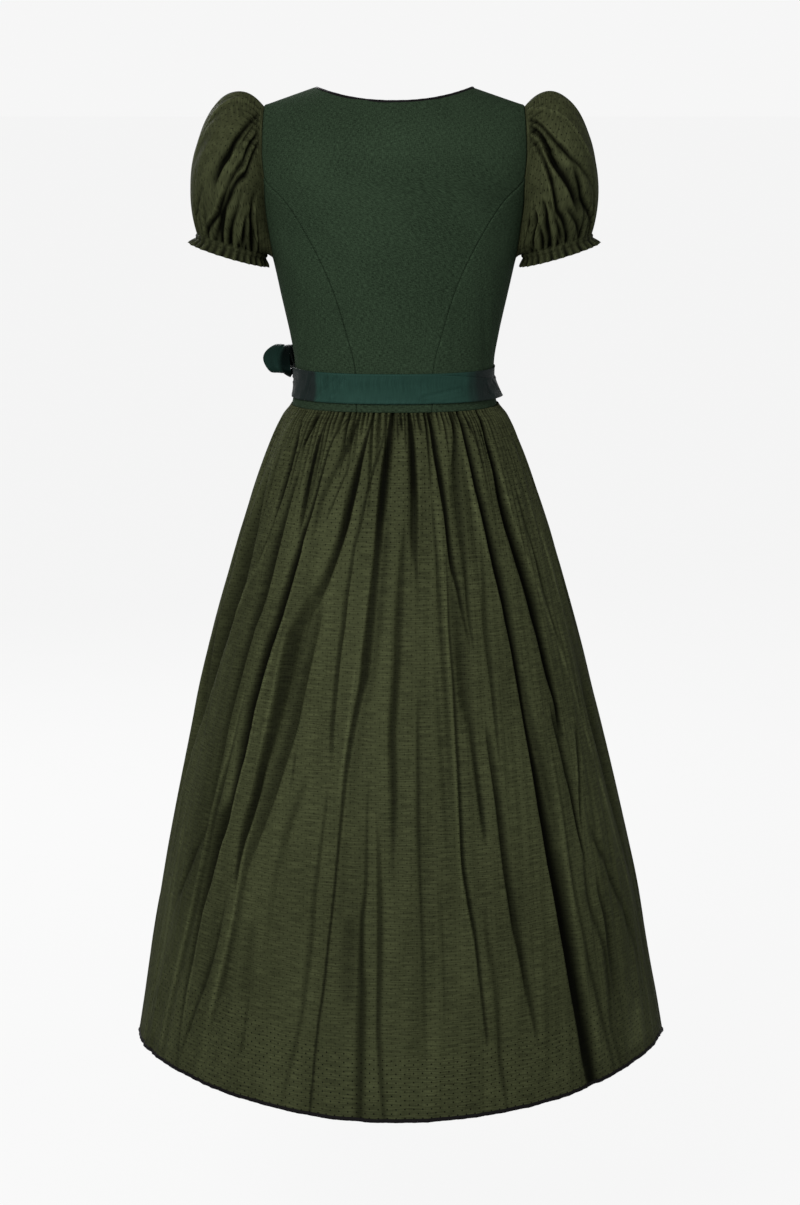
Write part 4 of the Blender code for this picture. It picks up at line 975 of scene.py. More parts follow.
        (0.224, -14.8, 0.7, 0.55), (0.26, -15.8, 0.7, 0.58), (0.30, -16.4, 0.7, 0.62),
        (0.34, -17.0, 0.7, 0.62), (0.40, -17.4, 0.7, 0.58), (0.457, -17.7, 0.6, 0.5), (0.51, -17.2, 0.4, 0),
    )),
    ("long_left", -1, (
        (0.0, -0.8, 0.9, 0.9), (0.04, -1.9, 1.3, 0.97), (0.08, -3.2, 1.5, 1.0), (0.12, -4.1, 1.5, 1.0),
        (0.16, -5.0, 1.3, 0.9), (0.20, -5.7, 1.2, 0.78), (0.256, -6.9, 1.3, 0.72), (0.304, -8.0, 1.4, 0.72),
        (0.34, -8.6, 1.4, 0.74), (0.37, -9.0, 1.3, 0.74), (0.406, -10.4, 0.9, 0.72), (0.45, -11.9, 0.8, 0.64),
        (0.51, -13.4, 0.6, 0.55), (0.553, -14.0, 0.5, 0.6), (0.62, -14.7, 0.4, 0.66),
        (0.68, -15.3, 0.35, 0.68), (0.75, -16.2, 0.3, 0.72), (0.81, -16.8, 0.3, 0.72),
        (0.868, -17.7, 0.3, 0.66), (0.97, -18.6, 0.3, 0.6), (1.0, -18.8, 0.3, 0.5),
    )),
    ("long_soft", 0, (
        (0.12, -1.6, 0.6, 0), (0.18, -2.6, 1.2, 0.34), (0.26, -4.2, 1.4, 0.34), (0.36, -6.4, 1.2, 0.25),
        (0.44, -9.6, 1.2, 0.2), (0.56, -12.0, 1.2, 0.16), (0.70, -13.6, 1.0, 0.12), (0.8, -15, 0.8, 0),
    )),
    ("long_lip", 0, (
        (0.34, -11.6, 0.4, 0), (0.39, -12.4, 0.5, -0.6), (0.46, -13.6, 0.5, -0.9), (0.51, -14.6, 0.5, -0.7),
        (0.56, -15.2, 0.4, 0),
    )),
    ("low_grey", 0, (
        (0.70, -11.8, 1.2, 0), (0.74, -11.6, 2.0, 0.26), (0.80, -11.3, 2.0, 0.28), (0.85, -11.2, 1.2, 0),
    )),
    ("low_mid", 0, (
        (0.50, -7.0, 0.3, 0), (0.58, -7.6, 0.4, 0.35), (0.655, -7.6, 0.4, 0.5), (0.72, -8.5, 0.5, 0.66),
        (0.78, -8.6, 0.7, 0.7), (0.82, -8.3, 1.0, 0.66), (0.90, -8.3, 1.0, 0.66), (1.0, -8.4, 0.9, 0.6),
    )),
    ("low_mid_two", -1, (
        (0.56, -5.2, 0.3, 0), (0.62, -4.6, 0.5, 0.4), (0.70, -4.3, 0.7, 0.55), (0.78, -4.4, 0.7, 0.6),
        (0.86, -4.6, 0.6, 0.58), (0.93, -4.0, 0.6, 0.46), (1.0, -3.2, 0.5, 0.34),
    )),
    ("top_one", 0, ((0.0, 0.6, 0.4, 0.6), (0.02, 0.8, 0.4, 0.8), (0.045, 0.9, 0.3, 0))),
    ("top_two", 0, ((0.0, 2.0, 0.4, 0.8), (0.015, 2.2, 0.5, 0.95), (0.03, 2.5, 0.4, 0))),
    ("middle", 0, (
        (0.15, 3.2, 0.5, 0), (0.20, 2.4, 0.9, 0.45), (0.24, 1.9, 1.1, 0.5), (0.28, 1.4, 1.2, 0.54),
        (0.32, 1.0, 1.2, 0.54), (0.356, 0.6, 1.1, 0.62), (0.406, -0.2, 1.0, 0.66), (0.465, -0.9, 1.0, 0.66),
        (0.53, -0.8, 0.9, 0.62), (0.58, -0.9, 0.7, 0.5), (0.62, -1.2, 0.5, 0.3), (0.68, -1.4, 0.4, 0),
    )),
    ("gather_mid", 1, (
        (0.0, 5.5, 0.9, 0.8), (0.016, 5.9, 1.2, 0.96), (0.06, 6.3, 1.4, 1.0), (0.10, 6.5, 1.4, 0.96),
        (0.13, 6.4, 1.5, 0.76), (0.16, 6.2, 1.5, 0.66), (0.19, 6.4, 1.1, 0.58), (0.22, 6.9, 0.6, 0.48),
        (0.25, 7.0, 0.4, 0),
    )),
    ("line_mid", 0, (
        (0.38, 6.7, 0.3, 0), (0.44, 6.3, 0.5, 0.36), (0.51, 5.7, 0.6, 0.46), (0.58, 5.3, 0.6, 0.5),
        (0.655, 5.2, 0.4, 0.42), (0.78, 5.3, 0.4, 0.36), (0.88, 5.3, 0.4, 0.2), (0.95, 5.4, 0.3, 0),
    )),
    ("mid_faint", 0, (
        (0.34, 12.0, 0.5, 0), (0.40, 12.1, 0.7, 0.22), (0.58, 12.1, 0.6, 0.22), (0.64, 12.2, 0.5, 0),
    )),
    ("mid_faint_two", 0, (
        (0.66, 9.6, 0.4, 0), (0.70, 9.7, 0.5, 0.2), (0.80, 9.8, 0.5, 0.18), (0.86, 9.8, 0.4, 0),
    )),
    ("top_three", 0, ((0.0, 9.2, 0.5, 0.6), (0.018, 10.0, 0.6, 0.7), (0.032, 11.0, 0.5, 0))),
    ("thin_right_two", 0, (
        (0.115, 13.4, 0.3, 0), (0.15, 13.5, 0.5, 0.42), (0.20, 14.0, 0.6, 0.46), (0.28, 14.5, 0.7, 0.42),
        (0.35, 14.5, 0.7, 0.36), (0.42, 14.6, 0.7, 0.25), (0.50, 14.2, 0.6, 0.15), (0.58, 13.6, 0.5, 0),
    )),
    ("thin_right", -1, (
        (0.19, 17.4, 0.3, 0), (0.24, 17.6, 0.4, 0.42), (0.30, 17.4, 0.5, 0.5), (0.35, 17.2, 0.5, 0.54),
        (0.406, 17.1, 0.5, 0.6), (0.487, 16.7, 0.5, 0.64), (0.56, 16.2, 0.5, 0.74), (0.633, 15.8, 0.5, 0.84),
        (0.685, 16.4, 0.5, 0.84), (0.75, 17.5, 0.45, 0.78), (0.81, 18.0, 0.4, 0.7), (0.88, 18.6, 0.4, 0.6),
        (0.905, 18.8, 0.3, 0),
    )),
    ("thin_right_lip", 0, (
        (0.12, 15.0, 0.5, 0), (0.18, 15.6, 0.6, -0.6), (0.26, 16.4, 0.7, -0.8), (0.36, 16.2, 0.6, -0.8),
        (0.46, 15.9, 0.5, -0.8), (0.56, 15.3, 0.5, -0.7), (0.64, 15.0, 0.5, -0.6), (0.74, 16.6, 0.4, -0.4),
        (0.84, 17.6, 0.4, 0),
    )),
    ("short_three", -1, (
        (0.0, 15.3, 1.0, 0.9), (0.012, 15.6, 1.2, 1.0), (0.06, 16.5, 1.2, 1.0), (0.10, 17.5, 1.1, 1.0),
        (0.14, 18.4, 1.0, 0.98), (0.18, 18.9, 0.9, 0.95), (0.22, 19.7, 0.8, 0.88), (0.25, 21.0, 0.7, 0.8),
        (0.28, 22.0, 0.6, 0.62), (0.316, 23.2, 0.4, 0.42), (0.34, 23.6, 0.3, 0),
    )),
    ("grey_right", 0, (
        (0.22, 18.6, 0.5, 0), (0.26, 19.2, 1.2, 0.32), (0.30, 19.8, 1.7, 0.38), (0.352, 19.8, 1.9, 0.38),
        (0.41, 20.3, 1.6, 0.38), (0.45, 21.3, 0.9, 0.48), (0.50, 21.5, 0.7, 0.66), (0.56, 21.8, 0.7, 0.72),
        (0.60, 22.0, 0.5, 0.5), (0.62, 22.0, 0.4, 0),
    )),
    ("low_line", 0, (
        (0.69, 20.0, 0.4, 0), (0.74, 20.2, 0.7, 0.36), (0.80, 21.2, 0.8, 0.36), (0.86, 21.6, 0.6, 0.42),
        (0.92, 21.4, 0.5, 0.5), (0.98, 22.0, 0.4, 0.34), (1.0, 22.2, 0.3, 0.2),
    )),
    ("soft_top_right", 0, (
        (0.0, 28.8, 0.6, 0.7), (0.02, 28.1, 0.9, 0.88), (0.048, 26.8, 1.2, 0.74), (0.08, 25.2, 1.9, 0.58),
        (0.12, 24.3, 2.0, 0.52), (0.16, 24.0, 1.7, 0.48), (0.20, 24.1, 1.2, 0.48), (0.24, 24.3, 0.8, 0.48),
        (0.28, 24.4, 0.6, 0.46), (0.32, 24.5, 0.4, 0.42), (0.345, 24.6, 0.3, 0),
    )),
    ("soft_top_two", 0, (
        (0.04, 28.6, 0.8, 0), (0.08, 28.8, 1.4, 0.32), (0.16, 29.0, 1.6, 0.32), (0.24, 29.0, 1.1, 0.15),
        (0.28, 29.0, 0.8, 0),
    )),
    ("upper_right", 0, (
        (0.16, 30.8, 0.5, 0), (0.20, 31.3, 0.8, 0.22), (0.24, 31.2, 1.1, 0.38), (0.28, 30.6, 1.2, 0.44),
        (0.32, 30.0, 1.1, 0.44), (0.36, 29.6, 0.8, 0.52), (0.40, 29.3, 0.6, 0.56), (0.457, 28.9, 0.5, 0.46),
        (0.51, 28.5, 0.4, 0),
    )),
    ("low_right", -1, (
        (0.44, 26.0, 0.5, 0), (0.47, 26.2, 0.8, 0.52), (0.52, 26.5, 1.0, 0.62), (0.58, 26.8, 1.0, 0.7),
        (0.65, 26.9, 1.0, 0.7), (0.72, 27.5, 1.0, 0.7), (0.78, 28.5, 0.9, 0.66), (0.84, 29.5, 0.7, 0.56),
        (0.89, 30.2, 0.5, 0.42), (0.91, 30.4, 0.3, 0),
    )),
    ("gap_ridge_top", 0, (
        (0.0, 30.8, 0.5, 0), (0.03, 30.2, 0.6, -0.6), (0.08, 30.3, 0.6, -0.9), (0.12, 31.0, 0.7, -0.9),
        (0.18, 33.0, 0.8, -0.7), (0.26, 36.0, 0.8, -0.3), (0.32, 37.4, 0.6, 0),
    )),
    ("gap", -1, (
        (0.0, 33.2, 1.2, 0.9), (0.024, 33.2, 1.4, 1.0), (0.06, 33.5, 1.4, 1.0), (0.104, 34.0, 1.4, 1.0),
        (0.14, 35.0, 1.5, 1.0), (0.18, 36.1, 1.6, 1.0), (0.22, 37.4, 1.7, 1.0), (0.252, 38.3, 1.7, 1.0),
        (0.28, 39.0, 1.6, 1.0), (0.32, 39.2, 1.3, 1.0), (0.36, 39.2, 1.1, 1.0), (0.413, 39.4, 1.1, 1.0),
        (0.47, 39.7, 1.3, 1.0), (0.523, 40.0, 1.5, 1.0), (0.597, 40.6, 1.7, 1.0), (0.67, 41.3, 2.1, 1.0),
        (0.75, 41.9, 2.1, 1.0), (0.85, 42.7, 1.9, 1.0), (0.927, 43.4, 1.8, 1.0), (1.0, 43.9, 1.5, 1.0),
    )),
    ("gap_soft", -1, (
        (0.36, 40.6, 0.6, 0), (0.42, 41.0, 1.0, 0.5), (0.50, 42.2, 1.2, 0.5), (0.58, 43.4, 1.0, 0.4),
        (0.66, 44.0, 0.8, 0),
    )),
    ("gap_lip", 0, (
        (0.40, 45.8, 0.6, 0), (0.47, 46.0, 0.7, -0.6), (0.56, 45.8, 0.7, -0.8), (0.633, 45.0, 0.7, -0.9),
        (0.75, 44.9, 0.6, -0.8), (0.82, 45.3, 0.6, -0.7), (0.90, 46.5, 0.6, -0.6), (0.97, 47.8, 0.6, -0.3),
        (1.0, 48.4, 0.6, 0),
    )),
    ("gap_line", 0, (
        (0.46, 47.2, 0.4, 0), (0.52, 47.0, 0.5, 0.25), (0.60, 46.7, 0.6, 0.3), (0.68, 46.3, 0.6, 0.32),
        (0.75, 46.8, 0.6, 0.4), (0.84, 48.2, 0.7, 0.42), (0.91, 49.6, 0.7, 0.45), (0.985, 51.2, 0.6, 0.34),
        (1.0, 51.4, 0.5, 0.2),
    )),
    ("small_four", 0, (
        (0.0, 37.0, 0.6, 0.7), (0.016, 37.5, 0.8, 0.9), (0.036, 38.5, 0.6, 0.55), (0.08, 39.5, 0.5, 0.2),
        (0.10, 40.0, 0.4, 0),
    )),
    ("small_five", 0, (
        (0.0, 43.4, 0.7, 0.4), (0.024, 44.0, 0.9, 0.55), (0.055, 44.2, 0.8, 0.25), (0.09, 44.6, 0.6, 0),
    )),
    ("deep_right", 1, (
        (0.0, 48.2, 1.0, 0.9), (0.02, 47.8, 1.2, 1.0), (0.052, 47.0, 1.3, 1.0), (0.088, 47.2, 1.5, 1.0),
        (0.12, 47.1, 2.0, 1.0), (0.16, 47.6, 2.2, 1.0), (0.192, 48.8, 2.1, 1.0), (0.224, 50.2, 2.1, 1.0),
        (0.26, 51.5, 2.1, 1.0), (0.292, 52.2, 2.1, 1.0), (0.32, 52.2, 1.9, 1.0), (0.352, 52.1, 1.6, 1.0),
        (0.406, 52.9, 1.4, 1.0), (0.443, 53.3, 1.0, 0.95), (0.47, 53.0, 0.8, 0.7), (0.50, 52.6, 0.6, 0),
    )),
    ("deep_olive", -1, (
        (0.42, 50.6, 0.8, 0), (0.46, 50.9, 1.4, 0.5), (0.523, 51.6, 1.5, 0.6), (0.567, 51.9, 1.0, 0.7),
        (0.61, 51.6, 0.7, 0.86), (0.635, 51.6, 0.6, 0.8), (0.663, 51.9, 0.5, 0.5), (0.69, 52.0, 0.4, 0),
    )),
    ("side_line", 0, (
        (0.0, 49.8, 0.5, 0), (0.02, 49.5, 0.5, -0.8), (0.052, 49.4, 0.6, -1.0), (0.12, 49.9, 0.6, -1.0),
        (0.152, 50.6, 0.6, -1.0), (0.18, 51.7, 0.6, -1.0), (0.216, 53.4, 0.6, -1.0), (0.248, 55.0, 0.6, -1.0),
        (0.276, 57.0, 0.6, -1.0), (0.304, 58.5, 0.6, -1.0), (0.344, 60.6, 0.6, -1.0),
        (0.384, 61.8, 0.6, -1.0), (0.42, 63.5, 0.6, -1.0), (0.465, 64.9, 0.6, -1.0), (0.50, 65.9, 0.6, -1.0),
        (0.553, 67.0, 0.6, -1.0), (0.61, 68.7, 0.6, -1.0), (0.663, 70.0, 0.6, -1.0), (0.707, 71.1, 0.6, -0.9),
        (0.75, 71.8, 0.6, -0.8), (0.81, 72.6, 0.6, -0.5), (1.0, 72.0, 0.6, -0.3),
    )),
    ("side_line_two", 0, (
        (0.10, 69.2, 0.5, 0), (0.17, 69.6, 0.7, -0.8), (0.24, 70.5, 0.8, -1.0), (0.31, 70.2, 0.8, -1.0),
        (0.38, 68.4, 0.7, -1.0), (0.428, 68.0, 0.6, -0.9), (0.47, 66.8, 0.5, -0.6), (0.50, 66.2, 0.4, 0),
    )),
    ("fork_one", 1, (
        (0.46, 60.8, 0.5, 0), (0.494, 59.4, 0.8, 0.42), (0.53, 57.4, 0.8, 0.5), (0.567, 55.3, 0.8, 0.48),
        (0.604, 53.3, 0.6, 0.45), (0.635, 52.2, 0.4, 0),
    )),
    ("fork_lip", 0, (
        (0.44, 59.4, 0.5, 0), (0.47, 58.5, 0.6, -0.7), (0.523, 56.3, 0.6, -0.8), (0.56, 54.6, 0.5, -0.9),
        (0.605, 52.5, 0.4, -0.5), (0.63, 52.0, 0.4, 0),
    )),
    ("fork_two", 0, (
        (0.65, 51.4, 0.5, 0), (0.69, 51.0, 0.8, 0.4), (0.72, 50.9, 1.0, 0.42), (0.77, 52.4, 0.9, 0.4),
        (0.81, 53.9, 0.8, 0.48), (0.868, 53.6, 0.8, 0.44), (0.927, 52.6, 0.8, 0.34), (0.97, 53.3, 0.6, 0.32),
        (1.0, 53.8, 0.5, 0.2),
    )),
    ("fork_three", -1, (
        (0.69, 55.6, 0.5, 0), (0.72, 55.5, 0.8, 0.4), (0.765, 56.2, 1.1, 0.48), (0.81, 56.2, 1.3, 0.44),
        (0.86, 56.0, 1.0, 0.22), (0.90, 55.6, 0.6, 0),
    )),
    ("out_right", 0, (
        (0.10, 57.6, 0.5, 0), (0.14, 57.9, 0.8, 0.42), (0.18, 58.3, 0.9, 0.48), (0.22, 59.4, 1.0, 0.48),
        (0.28, 60.2, 0.9, 0.42), (0.33, 61.6, 0.6, 0.3), (0.37, 63.0, 0.5, 0),
    )),
    ("out_slant", 0, (
        (0.61, 56.6, 0.6, 0), (0.64, 57.9, 1.0, 0.32), (0.685, 60.8, 1.2, 0.42), (0.73, 63.5, 1.2, 0.42),
        (0.77, 66.1, 1.2, 0.36), (0.82, 68.0, 1.0, 0.22), (0.87, 69.0, 0.6, 0),
    )),
    ("far_right", 0, (
        (0.30, 74, 2.0, 0), (0.44, 74, 3.0, 0.3), (0.55, 76, 3.4, 0.4), (0.66, 77, 3.0, 0.3),
        (0.80, 78, 2.4, 0.2), (1.0, 78, 2.0, 0.1),
    )),
    ("side_seam_right", 0, (
        (0.0, 83, 0.8, 0.3), (0.20, 83, 1.2, 0.4), (0.45, 84, 1.4, 0.45), (0.70, 84.5, 1.4, 0.4),
        (1.0, 85, 1.2, 0.3),
    )),
    ("side_seam_left", 0, (
        (0.0, -83, 0.8, 0.3), (0.10, -83, 1.2, 0.4), (0.70, -85, 1.4, 0.4), (1.0, -85, 1.2, 0.3),
    )),
    ("out_left", 0, (
        (0.03, -63.0, 0.8, 0), (0.08, -62.0, 1.0, 0.2), (0.14, -61.2, 1.0, 0.22), (0.20, -61.6, 0.8, 0),
    )),
)
# creases: how much of their depth they lose towards the hem and from which share down, the width of a
# crisp flank, a soft flank and a ridge against the table's half width, how steep and high a ridge is
# at most, and how much painted highlight it gets
HEM_SOFTENING = 0.75
HEM_SOFTENING_FROM = 0.62
CRISP_FLANK = 1.20
SOFT_FLANK = 1.75
RIDGE_FLANK = 1.8
RIDGE_STEEPNESS = 0.6
RIDGE_LIMIT = 0.0022
RIDGE_PAINTED_HIGHLIGHT = 0.60
# gathers, least and what chance adds: share down, depth, share of a gather's room, painted shade
GATHER_LENGTH = (0.020, 0.13)
GATHER_DEPTH = (0.0034, 0.0044)
GATHER_WIDTH = (0.22, 0.20)
GATHER_PAINTED_SHADE = (0.74, 0.42)
# unevenness of the cloth: height, how close round and down, seed
SKIRT_WAVES = (
    (0.0011, 5.0, 6.0, 5),
    (0.0006, 15.0, 7.0, 9),
    (0.00035, 44.0, 9.0, 13),
)
SIDE_SEAM_PINCH = 0.0016
# brightness: at the waist, painted shade down to the hem, painted light shining through the single
# layer without the lining, painted shade over the hem's turning and down in a fold, and how much it
# varies
WAIST_TONE = 1.04
HEM_PAINTED_SHADE = 0.09
BARE_PAINTED_LIGHT = 0.07
TURNING_PAINTED_SHADE = 0.10
FOLD_PAINTED_SHADE = 0.94
TONE_VARIES = 0.11
# shares down between which the turning begins, and the patches beside it end
TURNING_EDGE = (0.9785, 0.981)
PATCH_END = (0.972, 0.980)
# the apron's brightness over one layer of cloth, and its painted shade down in a fold
APRON_TONE = 0.90
APRON_FOLD_PAINTED_SHADE = 0.85
# angle from the middle of the width, share down where the lining stops
LINING_EDGE = (
    (-90, 0.850), (-60, 0.850), (-38, 0.862), (-25, 0.885), (-15, 0.900), (5, 0.906),
    (20, 0.900), (30, 0.892), (40, 0.888), (60, 0.872), (90, 0.860),
)


# Broad painted shade and painted light on the back width, darker towards the left side and lighter
# left of the middle: angle, width in degrees, share down where it starts and ends, gain in brightness.
BACK_PAINTED_SHADE_AND_LIGHT = (
    (-58.0, 12.0, 0.13, 0.88, -0.27),
    (-22.0, 7.0, 0.12, 0.72, 0.18),
)


# Paler corners of the hem, where the lining stops, painted light shining through the single layer:
# angle, width in degrees, share down, gain.
HEM_PAINTED_LIGHT_PATCHES = (
    (-66.5, 4.5, 0.935, 0.14),
    (62.0, 5.0, 0.925, 0.50),
)


def skirt_sizes(t):
    """Half width, depth to the back, depth to the front and shift of the skirt at each share down."""
    z = WAIST_Z + t * (HEM_Z - WAIST_Z)
    return [smooth_table(SKIRT_SECTIONS, z, column)[:, None] for column in (1, 2, 3, 4)]


def crease_sink(angles, t, radius, finest):
    """How deep the creases press in, with painted shade in them and painted highlight on ridges; none is
    narrower than the finest.
    """
    sink = np.zeros(angles.shape)
    dark = np.zeros(angles.shape)
    light = np.zeros(angles.shape)
    hem = 1.0 - HEM_SOFTENING * step_up(HEM_SOFTENING_FROM, 1.0, t[:, None])
    for _, crisp, marks in BACK_CREASES:
        rows = np.flatnonzero((t > marks[0][0] - 0.004) & (t < marks[-1][0] + 0.004))
        if len(rows) == 0:
            continue
        levels, places, halves, strengths = np.array(marks, float).T
        level = t[rows]
        place = smooth_values(levels, places, level)[:, None]
        half = smooth_values(levels, halves, level)[:, None]
        strength = np.clip(smooth_values(levels, strengths, level), min(strengths), max(strengths))[:, None]
        strength = strength * np.minimum(1.0, half / finest)
        half = np.maximum(half, finest)
        gap = (angles[rows] - place) / half
        sharp = bell(np.abs(gap / CRISP_FLANK) ** 2.6)
        soft = bell(np.abs(gap / SOFT_FLANK) ** (1.0 + 0.45 * strength ** 3))
        shape = np.where(crisp * gap > 0, sharp, soft)
        metres = np.radians(half) * radius[rows]
        if max(strengths) > 0:
            depth = np.minimum(FOLD_STEEPNESS * metres * strength, FOLD_LIMIT)
            sink[rows] = np.maximum(sink[rows], 0.0) + depth * shape * hem[rows]
            dark[rows] = np.maximum(dark[rows], strength * shape)
        else:
            ridge = -strength * bell(gap / RIDGE_FLANK)
            light[rows] = np.maximum(light[rows], ridge)
            sink[rows] -= np.minimum(RIDGE_STEEPNESS * metres, RIDGE_LIMIT) * ridge
    # painted shade in the creases, made deeper, less a painted highlight along the ridges
    dark = dark * (1.38 - 0.38 * dark)
    return sink, dark - RIDGE_PAINTED_HIGHLIGHT * light * (1.0 - dark)


def gather_sink(angles, t, seed):
    """Short fine gathers that run down from the waist seam, each of its own length."""
    drawn = angles / 180.0 * GATHER_COUNT + 0.35 * np.sin(angles / 7.3) + 0.3 * np.sin(angles / 3.1 + seed)
    drawn = drawn + 1.2 * np.minimum(t[:, None], 0.2) * np.sin(angles / 11.0 + seed)
    number = np.floor(drawn)
    part = drawn - number
    length = GATHER_LENGTH[0] + GATHER_LENGTH[1] * chance(number + seed) ** 2.0
    depth = GATHER_DEPTH[0] + GATHER_DEPTH[1] * chance(number * 3 + seed)
    width = GATHER_WIDTH[0] + GATHER_WIDTH[1] * chance(number * 5 + seed)
    fade = np.clip(1.0 - t[:, None] / length, 0.0, 1.0) ** 0.7
    shape = bell((part - 0.5) / width)
    # painted shade down in each gather
    darkness = GATHER_PAINTED_SHADE[0] + GATHER_PAINTED_SHADE[1] * chance(number * 7 + seed)
    return depth * fade * shape, fade * shape * darkness


def skirt_relief(angles, t, share, front):
    """How far the skirt's face sinks below its smooth form, and the painted shade in its folds and gathers
    and painted highlight on its ridges.
    """
    half, deep_back, _, _ = skirt_sizes(t)
    radius = (half + deep_back) / 2
    column = t[:, None]
    turn = np.radians(angles)
    if front:
        pressed, dark = crease_sink(angles - 180.0, t, radius, FRONT_FINEST)
        pressed, dark = FRONT_FOLD_SHARE * pressed, FRONT_FOLD_PAINTED_SHADE * dark
    else:
        pressed, dark = crease_sink(angles, t, radius, BACK_FINEST)
    from_seam = np.abs(np.abs(angles + 360.0) % 180.0 - 90.0)
    beside = step_up(0.3, 2.6, from_seam)
    gathers, shade_top = gather_sink(angles, t, 11)
    start = step_up(0.0, 0.05, column)
    waves = sum(high * uneven(turn * a, column * b, seed) for high, a, b, seed in SKIRT_WAVES)
    sink = (share * pressed + gathers + start * waves) * beside
    sink = sink + SIDE_SEAM_PINCH * (1.0 - step_up(0.0, 0.55, from_seam)) * start
    dark = np.where(shade_top > dark.clip(0.02), shade_top, dark).clip(-0.7, 1.0)
    return sink, dark * beside


def skirt_place(angles, t, sink, out):
    """Points of the skirt's outer face at these depths below its smooth form."""
    half, deep_back, deep_front, shift = skirt_sizes(t)
    column = t[:, None]
    turn = np.radians(angles)
    power = SQUARENESS + (1.0 - SQUARENESS) * np.minimum(1.0, column / 0.3)
    x = -signed_power(np.sin(turn), power)
    y = signed_power(np.cos(turn), power)
    inset = sink - out
    px = x * (half - inset) + shift
    py = y * (np.where(y >= 0, deep_back, deep_front) - inset)
    folded = np.where(angles > 90.0, 180.0 - angles, np.where(angles < -90.0, -180.0 - angles, angles))
    z = WAIST_Z + column * (HEM_Z - WAIST_Z) + smooth_table(HEM_LIFT, folded, 1) * column ** 3
    return np.stack([px, py, z], axis=-1)


def skirt_marks(grid, angles, t, middle):
    """Cloth coordinates: across from the middle of the width, up from the hem."""
    across = run_along(grid, 1)
    at = np.array([np.interp(middle, row, run) for row, run in zip(angles, across)])
    up = (1.0 - t) * (WAIST_Z - HEM_Z) * 1.03
    return np.stack([across - at[:, None], np.broadcast_to(up[:, None], across.shape)], axis=-1)


def skirt_tone(angles, t, dark):
    """Brightness, with painted shade and light, and strength of the dots: both are less over the lining."""
    column = t[:, None]
    middle = np.where(angles > 90.0, angles - 180.0, angles)
    edge = smooth_table(LINING_EDGE, middle, 1)
    bare = step_up(edge - 0.001, edge + 0.004, column)
    above_turning = 1.0 - step_up(*PATCH_END, column)
    # painted shade towards the hem, and painted light shining through below the lining's edge
    tone = WAIST_TONE - HEM_PAINTED_SHADE * step_up(0.45, 0.85, column) + BARE_PAINTED_LIGHT * bare
    # painted shade over the hem's turning
    tone = tone - TURNING_PAINTED_SHADE * step_up(*TURNING_EDGE, column)
    # painted light shining through at the hem's corners
    for place, wide, high, gain in HEM_PAINTED_LIGHT_PATCHES:
        slanted = middle - place + 30.0 * (column - 0.95)
        patch = bell(slanted / wide / 1.2) * step_up(high - 0.02, high + 0.01, column)
        tone = tone + gain * patch * above_turning
    # broad painted shade on the left side and painted light left of the middle
    for place, wide, start, end, gain in BACK_PAINTED_SHADE_AND_LIGHT:
        reach = step_up(start, start + 0.14, column) * (1.0 - step_up(end - 0.20, end, column))
        tone = tone + gain * bell((angles - place) / wide) * reach
    broad = uneven(np.radians(angles) * 7.0, column * 2.2, 51)
    # random broad variation, then painted shade down in the folds and painted highlight on the ridges
    tone = tone * (1.0 + TONE_VARIES * broad) * (1.0 - FOLD_PAINTED_SHADE * dark)
    dots = 0.55 + 0.45 * bare + 0.35 * (1.0 - step_up(0.10, 0.30, column))
    return tone, np.clip(dots, 0.0, 1.0)


def skirt_levels():
    """Rows: close together in the gathers and at the hem."""
    top = np.linspace(0.0, SKIRT_TOP_SHARE, SKIRT_TOP_ROWS)
    rest = np.linspace(SKIRT_TOP_SHARE, 1.0, SKIRT_LOW_ROWS)[1:]
    return np.concatenate([top, rest])


def skirt_angles(name, t):
    """Columns: even on the back, and on the front close together beside the apron."""
    if name == "back":
        columns = np.linspace(-90.0, 90.0, BACK_SKIRT_COLUMNS)
    else:
        side = np.linspace(90.0, FRONT_SIDE_END, FRONT_SIDE_COLUMNS)
        middle = np.linspace(FRONT_SIDE_END, 360.0 - FRONT_SIDE_END, FRONT_MIDDLE_COLUMNS)
        columns = np.concatenate([side, middle[1:-1], 360.0 - side[::-1]])
    return np.broadcast_to(columns, (len(t), len(columns)))


def make_skirt(cotton, trim):
    """Back and front width, each with its hem binding."""
    binding_top = 1.0 - BINDING_HEIGHT / (WAIST_Z - HEM_Z)
    t = skirt_levels() * (binding_top + 0.001)
    for name in ("back", "front"):
        angles = skirt_angles(name, t)
        sink, dark = skirt_relief(angles, t, 1.0, name == "front")
        grid = skirt_place(angles, t, sink, 0.0)
        uv = skirt_marks(grid, angles, t, 0.0 if name == "back" else 180.0)
        tone, dots = skirt_tone(angles, t, dark)
        node = "skirt_" + name
        thick = 0.0 if name == "back" else SKIRT_SHELL
        made = cloth(
            node + "_cloth", grid, cotton, [node], thick, uv=uv, tone=tone, dots=dots,
        )
        strip = make_binding(name, trim)


# share of the binding's height, distance out, for the rows round its rolled section
BINDING_SECTION = (
    (1.05, 0.0002), (0.96, 0.0009), (0.70, 0.0012), (0.35, 0.0013), (0.10, 0.0010), (0.0, 0.0002),
    (0.03, -0.0010), (0.30, -0.0016), (0.70, -0.0017), (1.0, -0.0012),
)


def make_binding(name, trim):
    """The hem's folded binding, wrapped round the edge of the cloth."""
    shares = np.array([row[0] for row in BINDING_SECTION])
    outs = np.array([row[1] for row in BINDING_SECTION])[:, None]
    t = 1.0 - shares * BINDING_HEIGHT / (WAIST_Z - HEM_Z)
    angles = skirt_angles(name, t)
    sink = skirt_relief(angles, t, 1.0, name == "front")[0]
    pucker = 0.00012 * np.sin(np.radians(angles) * 150.0)
    grid = skirt_place(angles, np.minimum(t, 1.0), sink, outs + pucker)
    node = "hem_binding_" + name
    return cloth(node + "_cloth", grid, trim, [node], 0.0)


